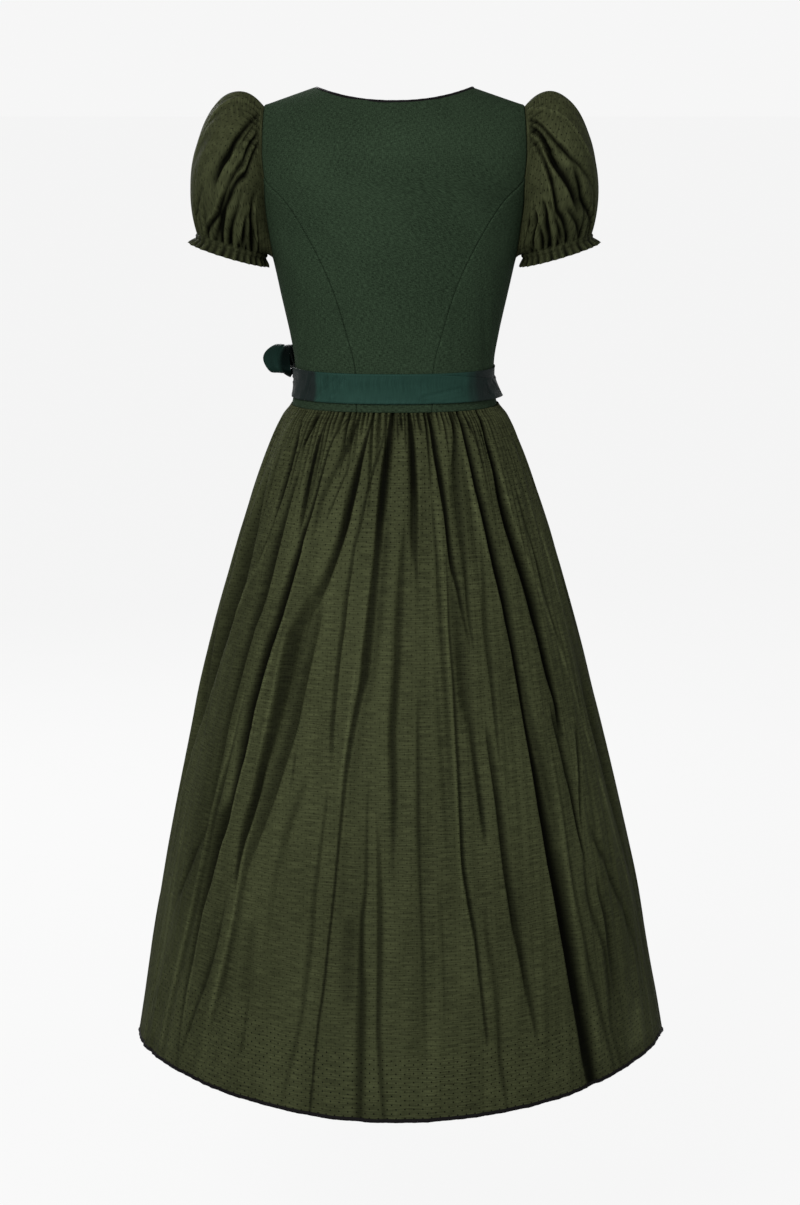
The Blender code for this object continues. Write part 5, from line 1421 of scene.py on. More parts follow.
def make_apron(cotton, ribbon):
    """The apron, which runs up under the ribbon, and its waistband."""
    t = skirt_levels() * APRON_SHARE
    columns = np.linspace(180.0 - APRON_HALF_ANGLE, 180.0 + APRON_HALF_ANGLE, APRON_COLUMNS)
    angles = np.broadcast_to(columns, (len(t), APRON_COLUMNS))
    sink, dark = skirt_relief(angles, t, APRON_FOLD_SHARE, True)
    grid = skirt_place(angles, t, sink, APRON_CLEARANCE)
    rise = np.linspace(RIBBON_BOTTOM_Z - SEAM_GAP, WAIST_Z + 0.001, APRON_RISE_ROWS + 1)[:-1]
    first = np.radians(angles[0])
    uphill = np.array([body_point(first, np.full(len(first), z), APRON_WAIST_OUT) for z in rise])
    level = np.broadcast_to(grid[0], uphill.shape).copy()
    level[..., 2] = uphill[..., 2]
    blend = np.linspace(0.0, 1.0, len(rise) + 1)[:-1, None, None] ** 1.5
    grid = np.concatenate([uphill * (1 - blend) + level * blend, grid])
    across = run_along(grid, 1)
    up = -run_along(grid, 0)
    uv = np.stack([across - across[:, -1:] / 2, up], axis=-1)
    from_side = np.minimum(across, across[:, -1:] - across) - APRON_SIDE_HEM
    from_hem = up - up.min() - APRON_HEM
    hem = step_up(0.0, 0.002, np.minimum(from_side, from_hem))
    dark = np.concatenate([np.broadcast_to(dark[:1], (len(rise), dark.shape[1])), dark])
    # painted shade down in the apron's folds
    tone = (APRON_TONE + (1.0 - APRON_TONE) * hem) * (1.0 - APRON_FOLD_PAINTED_SHADE * dark)
    made = cloth(
        "apron_cloth", grid, cotton, ["apron"], APRON_SHELL, uv=uv, tone=tone, dots=0.6,
    )
    start = 180.0 - APRON_HALF_ANGLE
    end = 180.0 + APRON_HALF_ANGLE - WAISTBAND_GAP
    band = make_band(
        "apron_waistband", start + WAISTBAND_GAP, end, INNER_RIBBON_OUT, ribbon, WAISTBAND_COLUMNS, (),
    )


# ---- ribbon --------------------------------------------------------------------------------------

# columns of each band, degrees left free at its ends
WAISTBAND_COLUMNS = 200
INNER_COLUMNS = 260
OUTER_COLUMNS = 460
WAISTBAND_GAP = 0.1
INNER_GAP = 0.15
# unevenness of a band, thickness of its woven edges, how far its creases may sink
BAND_WAVES = 0.0004
BAND_EDGE = 0.0004
BAND_SINK = 0.0012
# angles from centre back between which the painted shot sheen turns the ribbon from teal to grey,
# and to teal again at the front, and how teal the grey part is
SHOT_BACK = (43.0, 50.0)
SHOT_FRONT = (128.0, 140.0)
SHOT_LEAST = 0.12
# angle and share down where a crease starts, where it ends, depth and width in millimetres
RIBBON_CREASES = (
    (13.0, 0.77, 36.0, 0.47, 1.1, 2.6),
    (17.0, 0.93, 40.0, 0.70, -0.5, 2.6),
    (-26.0, 0.20, -33.0, 0.75, 0.9, 2.6),
    (-31.0, 0.15, -40.0, 0.60, 1.2, 2.8),
    (-38.0, 0.20, -46.0, 0.85, 1.0, 3.2),
    (-52.0, 0.10, -58.0, 0.90, 1.2, 4.0),
    (-75.0, 0.40, -105.0, 0.55, 1.0, 3.2),
    (60.0, 0.15, 66.0, 0.85, 0.9, 3.0),
    (72.0, 0.10, 84.0, 0.75, 1.0, 4.0),
    (100.0, 0.30, 130.0, 0.55, 0.9, 3.4),
    (150.0, 0.60, 185.0, 0.40, 0.8, 3.4),
    (-112.0, 0.25, -126.0, 0.50, 1.5, 3.0),
    (-114.0, 0.75, -126.0, 0.60, 1.5, 3.0),
    (208.0, 0.40, 222.0, 0.48, 1.3, 3.0),
)


def make_band(name, start, end, out, material, count, creases, slip=False):
    """A ribbon round the waist with its listed creases."""
    angles = np.linspace(start, end, count + 1)
    levels = np.linspace(0.0, 1.0, BAND_ROWS)
    height = RIBBON_TOP_Z - RIBBON_BOTTOM_Z
    grid = []
    for share in levels:
        top = RIBBON_TOP_Z + 0.0 * angles
        stand = out + 0.0 * angles
        if slip:
            top = top - smooth_table(RIBBON_SLIP, angles, 1)
            stand = stand + smooth_table(RIBBON_SLIP, angles, 2) * share
        wave = BAND_WAVES * uneven(np.radians(angles) * 2.2, share * 1.5 + 0.0 * angles, 21 if slip else 23)
        for a0, s0, a1, s1, deep, wide in creases:
            line = (angles - a0) / (a1 - a0)
            here = s0 + (s1 - s0) * np.clip(line, 0.0, 1.0)
            past = np.maximum(np.maximum(-line, line - 1.0), 0.0) * abs(a1 - a0)
            off = np.hypot((share - here) * height, np.radians(past) * WAIST_RADIUS)
            long = abs(a1 - a0) * WAIST_DEGREE
            lean = long / max(1e-6, math.hypot(long, (s1 - s0) * height))
            trough = bell(off * lean / wide * 1000.0)
            ridge = bell((off * lean * 1000.0 - wide) / wide)
            wave = wave - deep / 1000.0 * (trough - 0.5 * ridge)
        edge = BAND_EDGE * (bell(share / 0.06) + bell((1.0 - share) / 0.06))
        z = top + share * (RIBBON_BOTTOM_Z - top)
        row = body_point(np.radians(angles), z)
        normal = unit(body_point(np.radians(angles), z, 0.001) - row)
        lift = np.maximum(stand + wave * (1.0 if slip else 0.5) + edge, out - BAND_SINK)
        grid.append(row + normal * lift[:, None])
    # painted shot sheen and side shade: teal or grey by angle round the waist
    tone = ribbon_painted_sheen(angles)[None, :]
    return cloth(name + "_cloth", np.array(grid), material, [name], RIBBON_SHELL, tone=tone)


def ribbon_painted_sheen(angles):
    """Painted shot sheen and painted shade at the sides: teal at the middle of the back and at the front,
    grey at the sides, set by angle round the waist.
    """
    folded = np.abs((angles + 180.0) % 360.0 - 180.0)
    middle = 1.0 - step_up(*SHOT_BACK, folded + 2.5 * np.sin(angles / 3.0))
    front = step_up(*SHOT_FRONT, folded)
    return SHOT_LEAST + (1.0 - SHOT_LEAST) * np.maximum(middle, front)


def make_ribbon(ribbon):
    """The ribbon's inner and outer turn."""
    end = 180.0 - APRON_HALF_ANGLE - INNER_GAP
    creases = RIBBON_CREASES[:4]
    inner = make_band("ribbon_inner", -end, end, INNER_RIBBON_OUT, ribbon, INNER_COLUMNS, creases)
    start = KNOT_ANGLE + KNOT_OVERLAP
    end = KNOT_ANGLE + 360.0 - KNOT_OVERLAP
    creases = RIBBON_CREASES
    outer = make_band("ribbon_outer", start, end, OUTER_RIBBON_OUT, ribbon, OUTER_COLUMNS, creases, True)


# ---- bow -----------------------------------------------------------------------------------------

def knot_frame():
    """Middle of the knot and its directions: along the waist, out, up."""
    angle = math.radians(KNOT_ANGLE)
    z = (RIBBON_TOP_Z + RIBBON_BOTTOM_Z) / 2 - KNOT_DOWN
    point = body_point(np.array([angle]), np.array([z]))[0]
    outer = body_point(np.array([angle]), np.array([z]), 0.001)[0]
    ahead = body_point(np.array([angle + 0.02]), np.array([z]))[0]
    behind = body_point(np.array([angle - 0.02]), np.array([z]))[0]
    along = unit(ahead - behind)
    up = np.array([0.0, 0.0, 1.0])
    out = unit(np.cross(along, up))
    if np.dot(out, outer - point) < 0:
        out = -out
    return point + out * (KNOT_OUT + KNOT_HALF_SIZE[1]), along, out, up


def make_knot(ribbon):
    """The tied knot: a rounded pad of ribbon with pleats that run over it."""
    middle, along, out, up = knot_frame()
    lift = np.linspace(0.02, math.pi - 0.02, KNOT_ROWS)[:, None]
    turn = np.linspace(0.0, 2 * math.pi, KNOT_COLUMNS + 1)[None, :-1]
    flat = np.sin(lift) ** 0.6
    a = flat * signed_power(np.cos(turn), 0.8)
    b = flat * signed_power(np.sin(turn), 0.8)
    c = signed_power(np.cos(lift), 0.8) + 0.0 * turn
    pleat = 1.0 + np.sin(lift) * (0.055 * np.sin(a * 9.0 + 1.4 * c) + 0.03 * np.sin(a * 21.0 - 2.0 * c + 0.6))
    parts = [
        middle + along * (KNOT_HALF_SIZE[0] * a)[..., None] * 0.98,
        out * (KNOT_HALF_SIZE[1] * b * pleat)[..., None],
        up * (KNOT_HALF_SIZE[2] * c)[..., None],
    ]
    grid = parts[0] + parts[1] + parts[2]
    return cloth("bow_knot_cloth", grid, ribbon, ["bow_knot"], 0.0, True, centre=middle)


def make_loop(name, reach, opening, width, upright, root, ribbon, seed):
    """One loop of the bow: a strip that leaves the knot, turns and comes back, pleated at the knot."""
    middle, along, out, up = knot_frame()
    reach = np.array(reach)
    direction = unit(reach)
    length = float(np.linalg.norm(reach))
    across = up if upright else out
    across = unit(across - direction * np.dot(across, direction))
    wide = unit(np.cross(direction, across))
    side = np.sign(np.dot(direction, along))
    root = middle + along * side * (KNOT_HALF_SIZE[0] + root[0]) + out * root[1]
    s = np.linspace(0.0, 1.0, LOOP_ROWS)[:, None]
    v = np.linspace(-1.0, 1.0, LOOP_COLUMNS)[None, :]
    far = length * (1 - np.cos(2 * math.pi * s)) / 2
    rise = LOOP_SWELL * opening / 2 * np.sin(2 * math.pi * s) * (0.02 + 0.98 * (far / length) ** 4)
    rise = rise + 0.0022 * np.cos(math.pi * s)
    swell = np.maximum(0.0, np.sin(math.pi * s)) ** 1.5
    half = LOOP_ROOT_HALF + (width / 2 - LOOP_ROOT_HALF) * swell + 0.0030 * bell((s - 0.5) / 0.09)
    centre = root + direction * far[..., None] + across * rise[..., None]
    sideways = half * v
    # painted shade: the loop darker near the knot and lighter towards its tip
    lit = 0.22 + 0.36 * np.clip(far / length * 1.4 - 0.4, 0.0, 1.0) + 0.0 * v
    if upright:
        # slid over away from its tip, fuller and lower on the dress's side, with painted shade inside
        slide = -LOOP_SLIDE * (1 - bell((s - 0.5) / 0.12)) * np.sin(math.pi * s) ** 2
        inner = np.maximum(0.0, -v)
        sideways = sideways + slide * (0.7 + 0.3 * v) - LOOP_INNER_WIDER * inner * bell((s - 0.58) / 0.12)
        centre = centre - across * (LOOP_INNER_LOWER * inner * bell((s - 0.67) / 0.10))[..., None]
        lit = 0.72 * lit * (0.10 + 0.90 * step_up(-0.50, -0.12, v))
    grid = centre + wide * sideways[..., None]
    heart = root + direction * length / 2
    normals = grid_normals(grid, False, heart)
    pleat = 0.0009 * (1 - swell) * np.sin(v * 8.5 + seed) + 0.0006 * swell * uneven(s * 3.0, v * 0.8, seed)
    groove = bell((v - 0.35 * np.sin(5.0 * s + seed)) / 0.22) * (1 - 0.5 * swell) * step_up(0.0, 0.1, s)
    grid = grid + normals * np.minimum(pleat - 0.0016 * groove, 0.0008)[..., None]
    return cloth(
        name + "_cloth", grid, ribbon, [name], RIBBON_SHELL, centre=heart, dots=lit,
    )


def make_tail(name, start, end, length, ribbon, seed):
    """A hanging end of the bow, made from the skirt's points moved out over the apron."""
    s = np.linspace(0.0, 1.0, TAIL_ROWS)
    v = np.linspace(-1.0, 1.0, TAIL_COLUMNS)
    z = TAIL_TOP_Z - s * length
    t = np.maximum(0.0, (WAIST_Z - z) / (WAIST_Z - HEM_Z))
    half, _, front, _ = skirt_sizes(t)
    middle = (start + (end - start) * s ** 0.6)[:, None]
    ribbon_half = TAIL_TOP_HALF + TAIL_GAIN * np.minimum(1.0, s / 0.42)[:, None]
    spread = np.degrees(ribbon_half / ((half + front) / 2))
    angles = middle + spread * v[None, :]
    ripple = 0.0006 * (1.0 + np.sin(9.0 * s + start))[:, None]
    fold = 0.0011 * (1.0 + np.sin(v[None, :] * 5.2 + seed + 2.2 * s[:, None]))
    fold = fold * np.clip(1.1 - s[:, None], 0.1, 1.0)
    grid = skirt_place(angles, t, 0.0 * angles, TAIL_CLEARANCE + ripple + fold)
    slant = np.interp(v, (-1.0, -0.4, 0.4, 1.0), (0.0, 0.4, 0.6, 1.0))
    grid[..., 2] = z[:, None] - 0.004 * slant[None, :] * s[:, None]
    return cloth(name + "_cloth", grid, ribbon, [name], RIBBON_SHELL)


def make_bow(ribbon):
    """Knot, loops and hanging ends."""
    knot = make_knot(ribbon)
    for k, (name, reach, opening, width, upright, root) in enumerate(BOW_LOOPS):
        loop = make_loop(name, reach, opening, width, upright, root, ribbon, 1.0 + 2.0 * k)
    for k, (name, start, end, length) in enumerate(BOW_TAILS):
        tail = make_tail(name, start, end, length, ribbon, 0.7 + 1.9 * k)


# ---- sleeves -------------------------------------------------------------------------------------

def armhole_ring():
    """Points of the right armhole from the shoulder down the back, under the arm and up the front."""
    coarse = np.array([share for share, _ in ARMHOLE_CURVE])
    ends = np.array([0.0, 1.0])
    walk = []
    for front in (False, True):
        table = FRONT_ROWS if front else BACK_ROWS
        grid, normals = centre_grid(front, ends, len(table))
        side, side_normals = side_grid(front, 1.0, coarse, CORNER_ROW + 1)
        kept = [r for r in range(len(table) - 1, CORNER_ROW, -1) if r != len(table) - 2]
        part = [(grid[r, -1], normals[r, -1]) for r in kept]
        if front:
            part = part[1:]
        rows = [(side[-1, c], side_normals[-1, c]) for c in range(len(coarse))]
        part = part + rows
        if front:
            part = part[:-1][::-1]
        walk += part
    return np.array([p for p, n in walk]), np.array([n for p, n in walk])


def sleeve_turns(points):
    """How far round the sleeve each armhole point is: 0 outer, 180 underarm, 360 outer again."""
    lowest = int(np.argmin(points[:, 2]))
    gaps = np.linalg.norm(np.roll(points, -1, axis=0) - points, axis=1)
    run = np.concatenate([[0.0], np.cumsum(gaps)])
    turns = np.empty(len(points))
    turns[: lowest + 1] = 180.0 * run[: lowest + 1] / run[lowest]
    turns[lowest:] = 180.0 + 180.0 * (run[lowest:-1] - run[lowest]) / (run[-1] - run[lowest])
    return turns


def round_values(turns, values, at):
    """Values on a closed ring read smoothly at other turns."""
    xs = np.concatenate([turns[-3:] - 360.0, turns, turns[:3] + 360.0])
    ys = np.concatenate([values[-3:], values, values[:3]])
    return np.stack([curve_values(xs, y, np.gradient(y, xs), at) for y in ys.T], axis=-1)


def puff_pull(turns, which):
    """Pull of the puff at the armhole (which = 1) or at the cuff (2), the same on back and front."""
    folded = np.minimum(turns, 360.0 - turns)
    levels = np.array([row[0] for row in PUFF_PULL])
    pulls = np.array([row[which] for row in PUFF_PULL])
    pull = np.stack([smooth_values(levels, pulls[:, k], folded) for k in range(3)], axis=-1)
    pull[turns > 180.0, 1] *= -1.0
    return pull


def limited(vectors, lengths):
    """The vectors, none longer than its length."""
    size = np.linalg.norm(vectors, axis=-1)
    return vectors * np.minimum(1.0, lengths / np.maximum(1e-9, size))[:, None]


def cuff_ring(turns, along, grow):
    """Points of the cuff ring, moved along the arm and out from its axis."""
    tilt = math.radians(CUFF_TILT)
    a = np.radians(turns)
    grow = np.broadcast_to(grow, turns.shape)
    sideways = np.array([math.cos(tilt), 0.0, math.sin(tilt)])
    axis = np.array([math.sin(tilt), 0.0, -math.cos(tilt)])
    points = np.array(CUFF_CENTRE) + axis * along
    points = points + sideways * ((CUFF_RADIUS[0] + grow) * np.cos(a))[:, None]
    return points + np.array([0.0, 1.0, 0.0]) * ((CUFF_RADIUS[1] + grow) * np.sin(a))[:, None]


# out along the sleeve and out from the bodice: the seam allowance under the armhole's edge, and then
# the sleeve's start
SLEEVE_TUCK = ((-0.0040, -0.0027), (0.0003, -0.0024), (0.0007, 0.0002))


def sleeve_base(turns, rows):
    """The left sleeve's smooth outer face between the armhole and the cuff, and its seam allowance."""
    flip = np.array([-1.0, 1.0, 1.0])
    points, normals = armhole_ring()
    points = points * flip
    normals = normals * flip
    tangent = unit(np.roll(points, -1, axis=0) - np.roll(points, 1, axis=0))
    away = unit(np.cross(tangent, normals))
    away = away * np.sign(np.sum(away * (np.array(BESIDE_SLEEVE) - points), axis=1, keepdims=True))
    marks = sleeve_turns(points)
    *tuck, starts = (round_values(marks, points + away * a + normals * n, turns) for a, n in SLEEVE_TUCK)
    ends = cuff_ring(turns, 0.0, 0.0)
    span = np.linalg.norm(ends - starts, axis=1)
    limit = PUFF_LIMIT * span * np.minimum(1.0, span / 0.05)
    first = starts + limited(puff_pull(turns, 1), limit)
    second = ends + limited(puff_pull(turns, 2), limit)
    t = rows[:, None, None]
    u = 1 - t
    grid = u ** 3 * starts + 3 * u * u * t * first + 3 * u * t * t * second + t ** 3 * ends
    return grid, np.array(tuck)


# Folds of the sleeves: name, (share of the way down, turn, depth in millimetres) along it,
# width in millimetres, crisp side (1 towards the underarm, 0 neither). A ridge has a negative depth.
LEFT_SLEEVE_FOLDS = (
    (
        "long_a",
        ((0.0, 13, 2.0), (0.07, 31, 3.5), (0.20, 51, 6.0), (0.36, 61, 7.5), (0.54, 62, 5.0), (0.68, 62, 0.0)),
        3.4,
        1,
    ),
    ("short_a", ((0.0, 19, 2.0), (0.04, 29, 3.0), (0.11, 45, 3.0), (0.17, 54, 1.8), (0.25, 60, 0.0)), 2.0, 0),
    ("short_b", ((0.0, 26, 2.0), (0.04, 41, 2.6), (0.10, 56, 2.0), (0.16, 65, 0.0)), 1.8, 0),
    (
        "long_b",
        (
            (0.0, 34, 2.5), (0.08, 51, 4.0), (0.23, 70, 4.2), (0.51, 75, 4.0), (0.79, 71, 6.0),
            (0.92, 57, 4.5), (1.0, 45, 2.0),
        ),
        2.6,
        -1,
    ),
    (
        "long_c",
        (
            (0.0, 40, 2.5), (0.04, 54, 3.5), (0.13, 70, 4.5), (0.24, 79, 6.0), (0.56, 80, 4.2),
            (0.84, 75, 4.5), (1.0, 66, 3.0),
        ),
        2.8,
        -1,
    ),
    (
        "low_e",
        (
            (0.10, 95, 0.0), (0.18, 101, 1.5), (0.36, 112, 5.5), (0.61, 123, 7.5), (0.85, 128, 5.0),
            (1.0, 130, 2.5),
        ),
        4.0,
        1,
    ),
    ("low_f", ((0.27, 88, 0.0), (0.45, 93, 1.5), (0.59, 95, 3.2), (0.81, 92, 4.2), (1.0, 91, 2.5)), 2.8, 1),
    ("low_g", ((0.20, 116, 0.0), (0.44, 127, 1.5), (0.80, 138, 3.0), (1.0, 143, 2.0)), 2.6, 0),
    ("low_i", ((0.46, 107, 0.0), (0.62, 109, 3.4), (0.82, 110, 5.0), (1.0, 110, 2.5)), 3.0, -1),
    ("low_j", ((0.70, 80, 0.0), (0.84, 79, 3.4), (1.0, 78, 2.0)), 2.4, 1),
    ("low_h", ((0.60, 50, 0.0), (0.75, 45, 1.5), (0.86, 37, 3.0), (0.94, 27, 3.0), (1.0, 24, 1.5)), 2.6, 0),
    (
        "top_ridge",
        ((0.10, 10, 0.0), (0.16, 11, -1.4), (0.34, 12, -1.6), (0.56, 15, -1.0), (0.70, 18, 0.0)),
        2.4,
        0,
    ),
)
RIGHT_SLEEVE_FOLDS = (
    (
        "top_ridge",
        (
            (0.0, 9, -1.6), (0.09, 19, -2.0), (0.20, 25, -1.8), (0.45, 30, -1.5), (0.58, 29, -1.2),
            (0.70, 18, 0.0),
        ),
        2.6,
        0,
    ),
    (
        "long_a",
        (
            (0.0, 20, 2.5), (0.10, 35, 3.5), (0.18, 46, 4.0), (0.29, 53, 4.5), (0.43, 54, 4.0),
            (0.59, 47, 3.0), (0.80, 30, 0.5),
        ),
        2.4,
        -1,
    ),
    ("short_a", ((0.0, 27, 2.0), (0.10, 44, 3.0), (0.20, 58, 2.6), (0.30, 62, 0.0)), 2.0, 0),
    (
        "long_b",
        (
            (0.0, 32, 2.5), (0.09, 46, 4.5), (0.17, 59, 8.0), (0.27, 67, 9.0), (0.40, 70, 6.0),
            (0.69, 66, 5.0), (0.86, 60, 0.0),
        ),
        3.4,
        1,
    ),
    (
        "long_c",
        (
            (0.0, 42, 2.0), (0.12, 63, 3.0), (0.26, 75, 4.5), (0.41, 82, 5.5), (0.65, 88, 5.5),
            (0.81, 82, 4.5), (1.0, 76, 2.5),
        ),
        3.0,
        1,
    ),
    (
        "out_e",
        ((0.50, 56, 0.0), (0.62, 55, 4.0), (0.75, 54, 5.0), (0.86, 43, 4.0), (0.94, 30, 3.0), (1.0, 27, 1.5)),
        3.0,
        -1,
    ),
    (
        "low_f",
        (
            (0.20, 106, 0.0), (0.30, 111, 3.0), (0.49, 116, 6.5), (0.61, 125, 6.5), (0.80, 132, 4.0),
            (1.0, 135, 2.0),
        ),
        3.2,
        -1,
    ),
    (
        "low_g",
        (
            (0.15, 118, 0.0), (0.24, 124, 4.0), (0.33, 129, 6.0), (0.41, 141, 4.0), (0.60, 150, 2.0),
            (1.0, 156, 1.0),
        ),
        3.0,
        1,
    ),
    ("low_h", ((0.40, 96, 0.0), (0.53, 94, 2.5), (0.76, 91, 3.5), (0.91, 87, 4.0), (1.0, 85, 2.0)), 2.6, 1),
    ("low_j", ((0.32, 97, 0.0), (0.48, 100, 4.0), (0.72, 104, 6.0), (1.0, 102, 2.5)), 3.6, -1),
    ("low_k", ((0.56, 117, 0.0), (0.72, 117, 4.0), (0.88, 117, 4.6), (1.0, 117, 2.0)), 2.8, 1),
    ("low_i", ((0.70, 78, 0.0), (0.81, 70, 3.5), (0.94, 59, 4.0), (1.0, 56, 2.0)), 2.8, 1),
)
FRONT_SLEEVE_FOLDS = (
    (
        "front_a",
        (
            (0.0, 344, 2.0), (0.08, 326, 3.5), (0.22, 308, 5.0), (0.40, 299, 6.0), (0.60, 297, 3.0),
            (0.80, 298, 0.0),
        ),
        3.4,
        -1,
    ),
    (
        "front_b",
        (
            (0.0, 330, 2.5), (0.10, 310, 3.5), (0.25, 292, 4.0), (0.55, 286, 4.5), (0.80, 292, 5.0),
            (1.0, 306, 2.0),
        ),
        2.8,
        1,
    ),
    (
        "front_c",
        (
            (0.0, 322, 2.0), (0.06, 302, 3.0), (0.16, 284, 4.5), (0.40, 276, 5.0), (0.70, 277, 4.0),
            (1.0, 284, 3.0),
        ),
        3.0,
        -1,
    ),
    (
        "front_d",
        ((0.22, 262, 0.0), (0.45, 252, 4.5), (0.65, 244, 6.0), (0.85, 238, 4.5), (1.0, 236, 2.5)),
        3.6,
        1,
    ),
    ("front_e", ((0.35, 274, 0.0), (0.60, 266, 3.0), (0.82, 264, 4.0), (1.0, 264, 2.5)), 2.8, -1),
    ("front_f", ((0.60, 312, 0.0), (0.75, 318, 2.0), (0.90, 326, 3.0), (1.0, 328, 1.5)), 2.8, 0),
    ("front_ridge", ((0.08, 348, 0.0), (0.20, 344, -1.6), (0.45, 342, -1.4), (0.70, 346, 0.0)), 2.6, 0),
)
# folds: widths of a crisp, a soft and an even flank against the table's width, and how high the cloth
# rises beside a fold against its depth
SLEEVE_CRISP, SLEEVE_SOFT, SLEEVE_EVEN = 0.85, 2.0, 1.2
SLEEVE_RISE = 0.20
SLEEVE_WAVES = 0.0006
# brightness of the puff, its painted shade in a fold or gather (and painted light where the cloth
# rises), how deep a fold is fully shaded, its painted shade on the inner lower side, and how much it
# varies
PUFF_TONE = 0.92
PUFF_FOLD_PAINTED_SHADE = 0.88
PUFF_FULL_DEPTH = 0.0042
PUFF_INNER_PAINTED_SHADE = 0.40
PUFF_VARIES = 0.09
# width of the sleeve's cut and how much the cloth's pattern keeps to it instead of the puff's girth
SLEEVE_CUT = 0.45
SLEEVE_CUT_SHARE = 0.45
# count round the sleeve, end of the sleeve they run from, longest, depth, seed
SLEEVE_GATHERS = (
    (52, 0.0, 0.22, 0.0036, 0.0),
    (CUFF_GATHERS, 1.0, 0.30, 0.0060, 5.0),
)


def sleeve_sink(turns, rows, girth, folds, seed):
    """How deep the sleeve's folds and its gathers at the armhole and at the cuff press in."""
    sink = np.zeros((len(rows), len(turns)))
    for _, marks, wide, crisp in folds:
        marks = np.array(marks, float)
        place = smooth_values(marks[:, 0], marks[:, 1], rows)[:, None]
        depth = smooth_values(marks[:, 0], marks[:, 2], rows)[:, None] / 1000.0
        if marks[0, 0] > 0.0:
            depth = depth * step_up(marks[0, 0] - 0.02, marks[0, 0], rows)[:, None]
        gap = (turns[None, :] - place + 180.0) % 360.0 - 180.0
        reach = gap / 360.0 * girth / (wide / 1000.0 * 1.4)
        side = crisp * np.sign(gap)
        flank = np.where(side > 0, SLEEVE_CRISP, np.where(side < 0, SLEEVE_SOFT, SLEEVE_EVEN))
        sink += depth * bell(reach / flank)
        sink -= SLEEVE_RISE * depth * bell((reach * (crisp or 1) - 1.35) / 0.75)
    folded = np.minimum(turns, 360.0 - turns)
    room = step_up(4.0, 14.0, folded)[None, :] * (1.0 - step_up(48.0, 70.0, folded))[None, :]
    low = np.clip((170.0 - folded) / 50.0, 0.0, 1.0)[None, :]
    for count, end, longest, deep, shift in SLEEVE_GATHERS:
        drawn = turns / 360.0 * count + 0.25 * np.sin(np.radians(turns) * 3.0 + shift)
        number = np.floor(drawn) % count
        part = drawn - np.floor(drawn)
        length = (0.07 + longest * chance(number + shift) ** 1.5)[None, :]
        depth = (deep * (0.5 + 0.9 * chance(number * 3 + shift)))[None, :]
        near = np.abs(rows[:, None] - end)
        fade = np.clip(1.0 - near / length, 0.0, 1.0) ** 1.2
        width = (0.24 + 0.14 * chance(number * 5 + shift))[None, :]
        keep = room if end == 0.0 else 0.5 + 0.5 * low
        sink += depth * fade * keep * bell((part[None, :] - 0.5) / width)
    waves = uneven(np.radians(turns)[None, :] * 3.0, rows[:, None] * 5.0, 31 + seed)
    sink += SLEEVE_WAVES * np.sin(math.pi * rows)[:, None] * waves
    ease = step_up(0.0, 0.03, rows)[:, None]
    under = np.clip((folded - 120.0) / 50.0, 0.0, 1.0)[None, :]
    return sink * ease * (1.0 - 0.85 * under * (1.0 - step_up(0.3, 0.8, rows)[:, None]))


# casing and ruffle: along the arm from the cuff, out from its ring, share of the ruffle's waves
CUFF_SECTION = (
    (0.0008, -0.0008, 0.10), (0.0022, -0.0002, 0.16), (0.0040, -0.0002, 0.16), (0.0052, -0.0009, 0.14),
    (0.0060, -0.0010, 0.16), (0.0078, 0.0002, 0.50), (0.0100, 0.0018, 0.85), (0.0122, 0.0033, 1.10),
    (0.0140, 0.0043, 1.25), (0.0145, 0.0045, 1.28),
)


def ruffle_waves(turns, seed):
    """How the ruffle waves out and in round the cuff, each wave a little different."""
    frill = np.radians(turns) * CUFF_GATHERS
    waves = np.sin(frill + 0.9 * np.sin(np.radians(turns) * 3.0 + seed))
    return waves + 0.35 * np.sin(frill * 0.5 + 1.0 + seed)


def sleeve_tone(sink, turns, rows, seed):
    """Brightness of the puff: painted shade in its folds and towards its inner lower side, painted light
    where it rises, a little uneven.
    """
    tone = PUFF_TONE - PUFF_FOLD_PAINTED_SHADE * np.clip(sink / PUFF_FULL_DEPTH, -0.36, 1.0)
    folded = np.minimum(turns, 360.0 - turns)[None, :]
    inner = step_up(100.0, 155.0, folded) * step_up(0.45, 0.90, rows)[:, None]
    broad = uneven(np.radians(folded) * 4.0, rows[:, None] * 4.0, 41 + seed)
    return tone * (1.0 - PUFF_INNER_PAINTED_SHADE * inner) * (1.0 + PUFF_VARIES * broad)


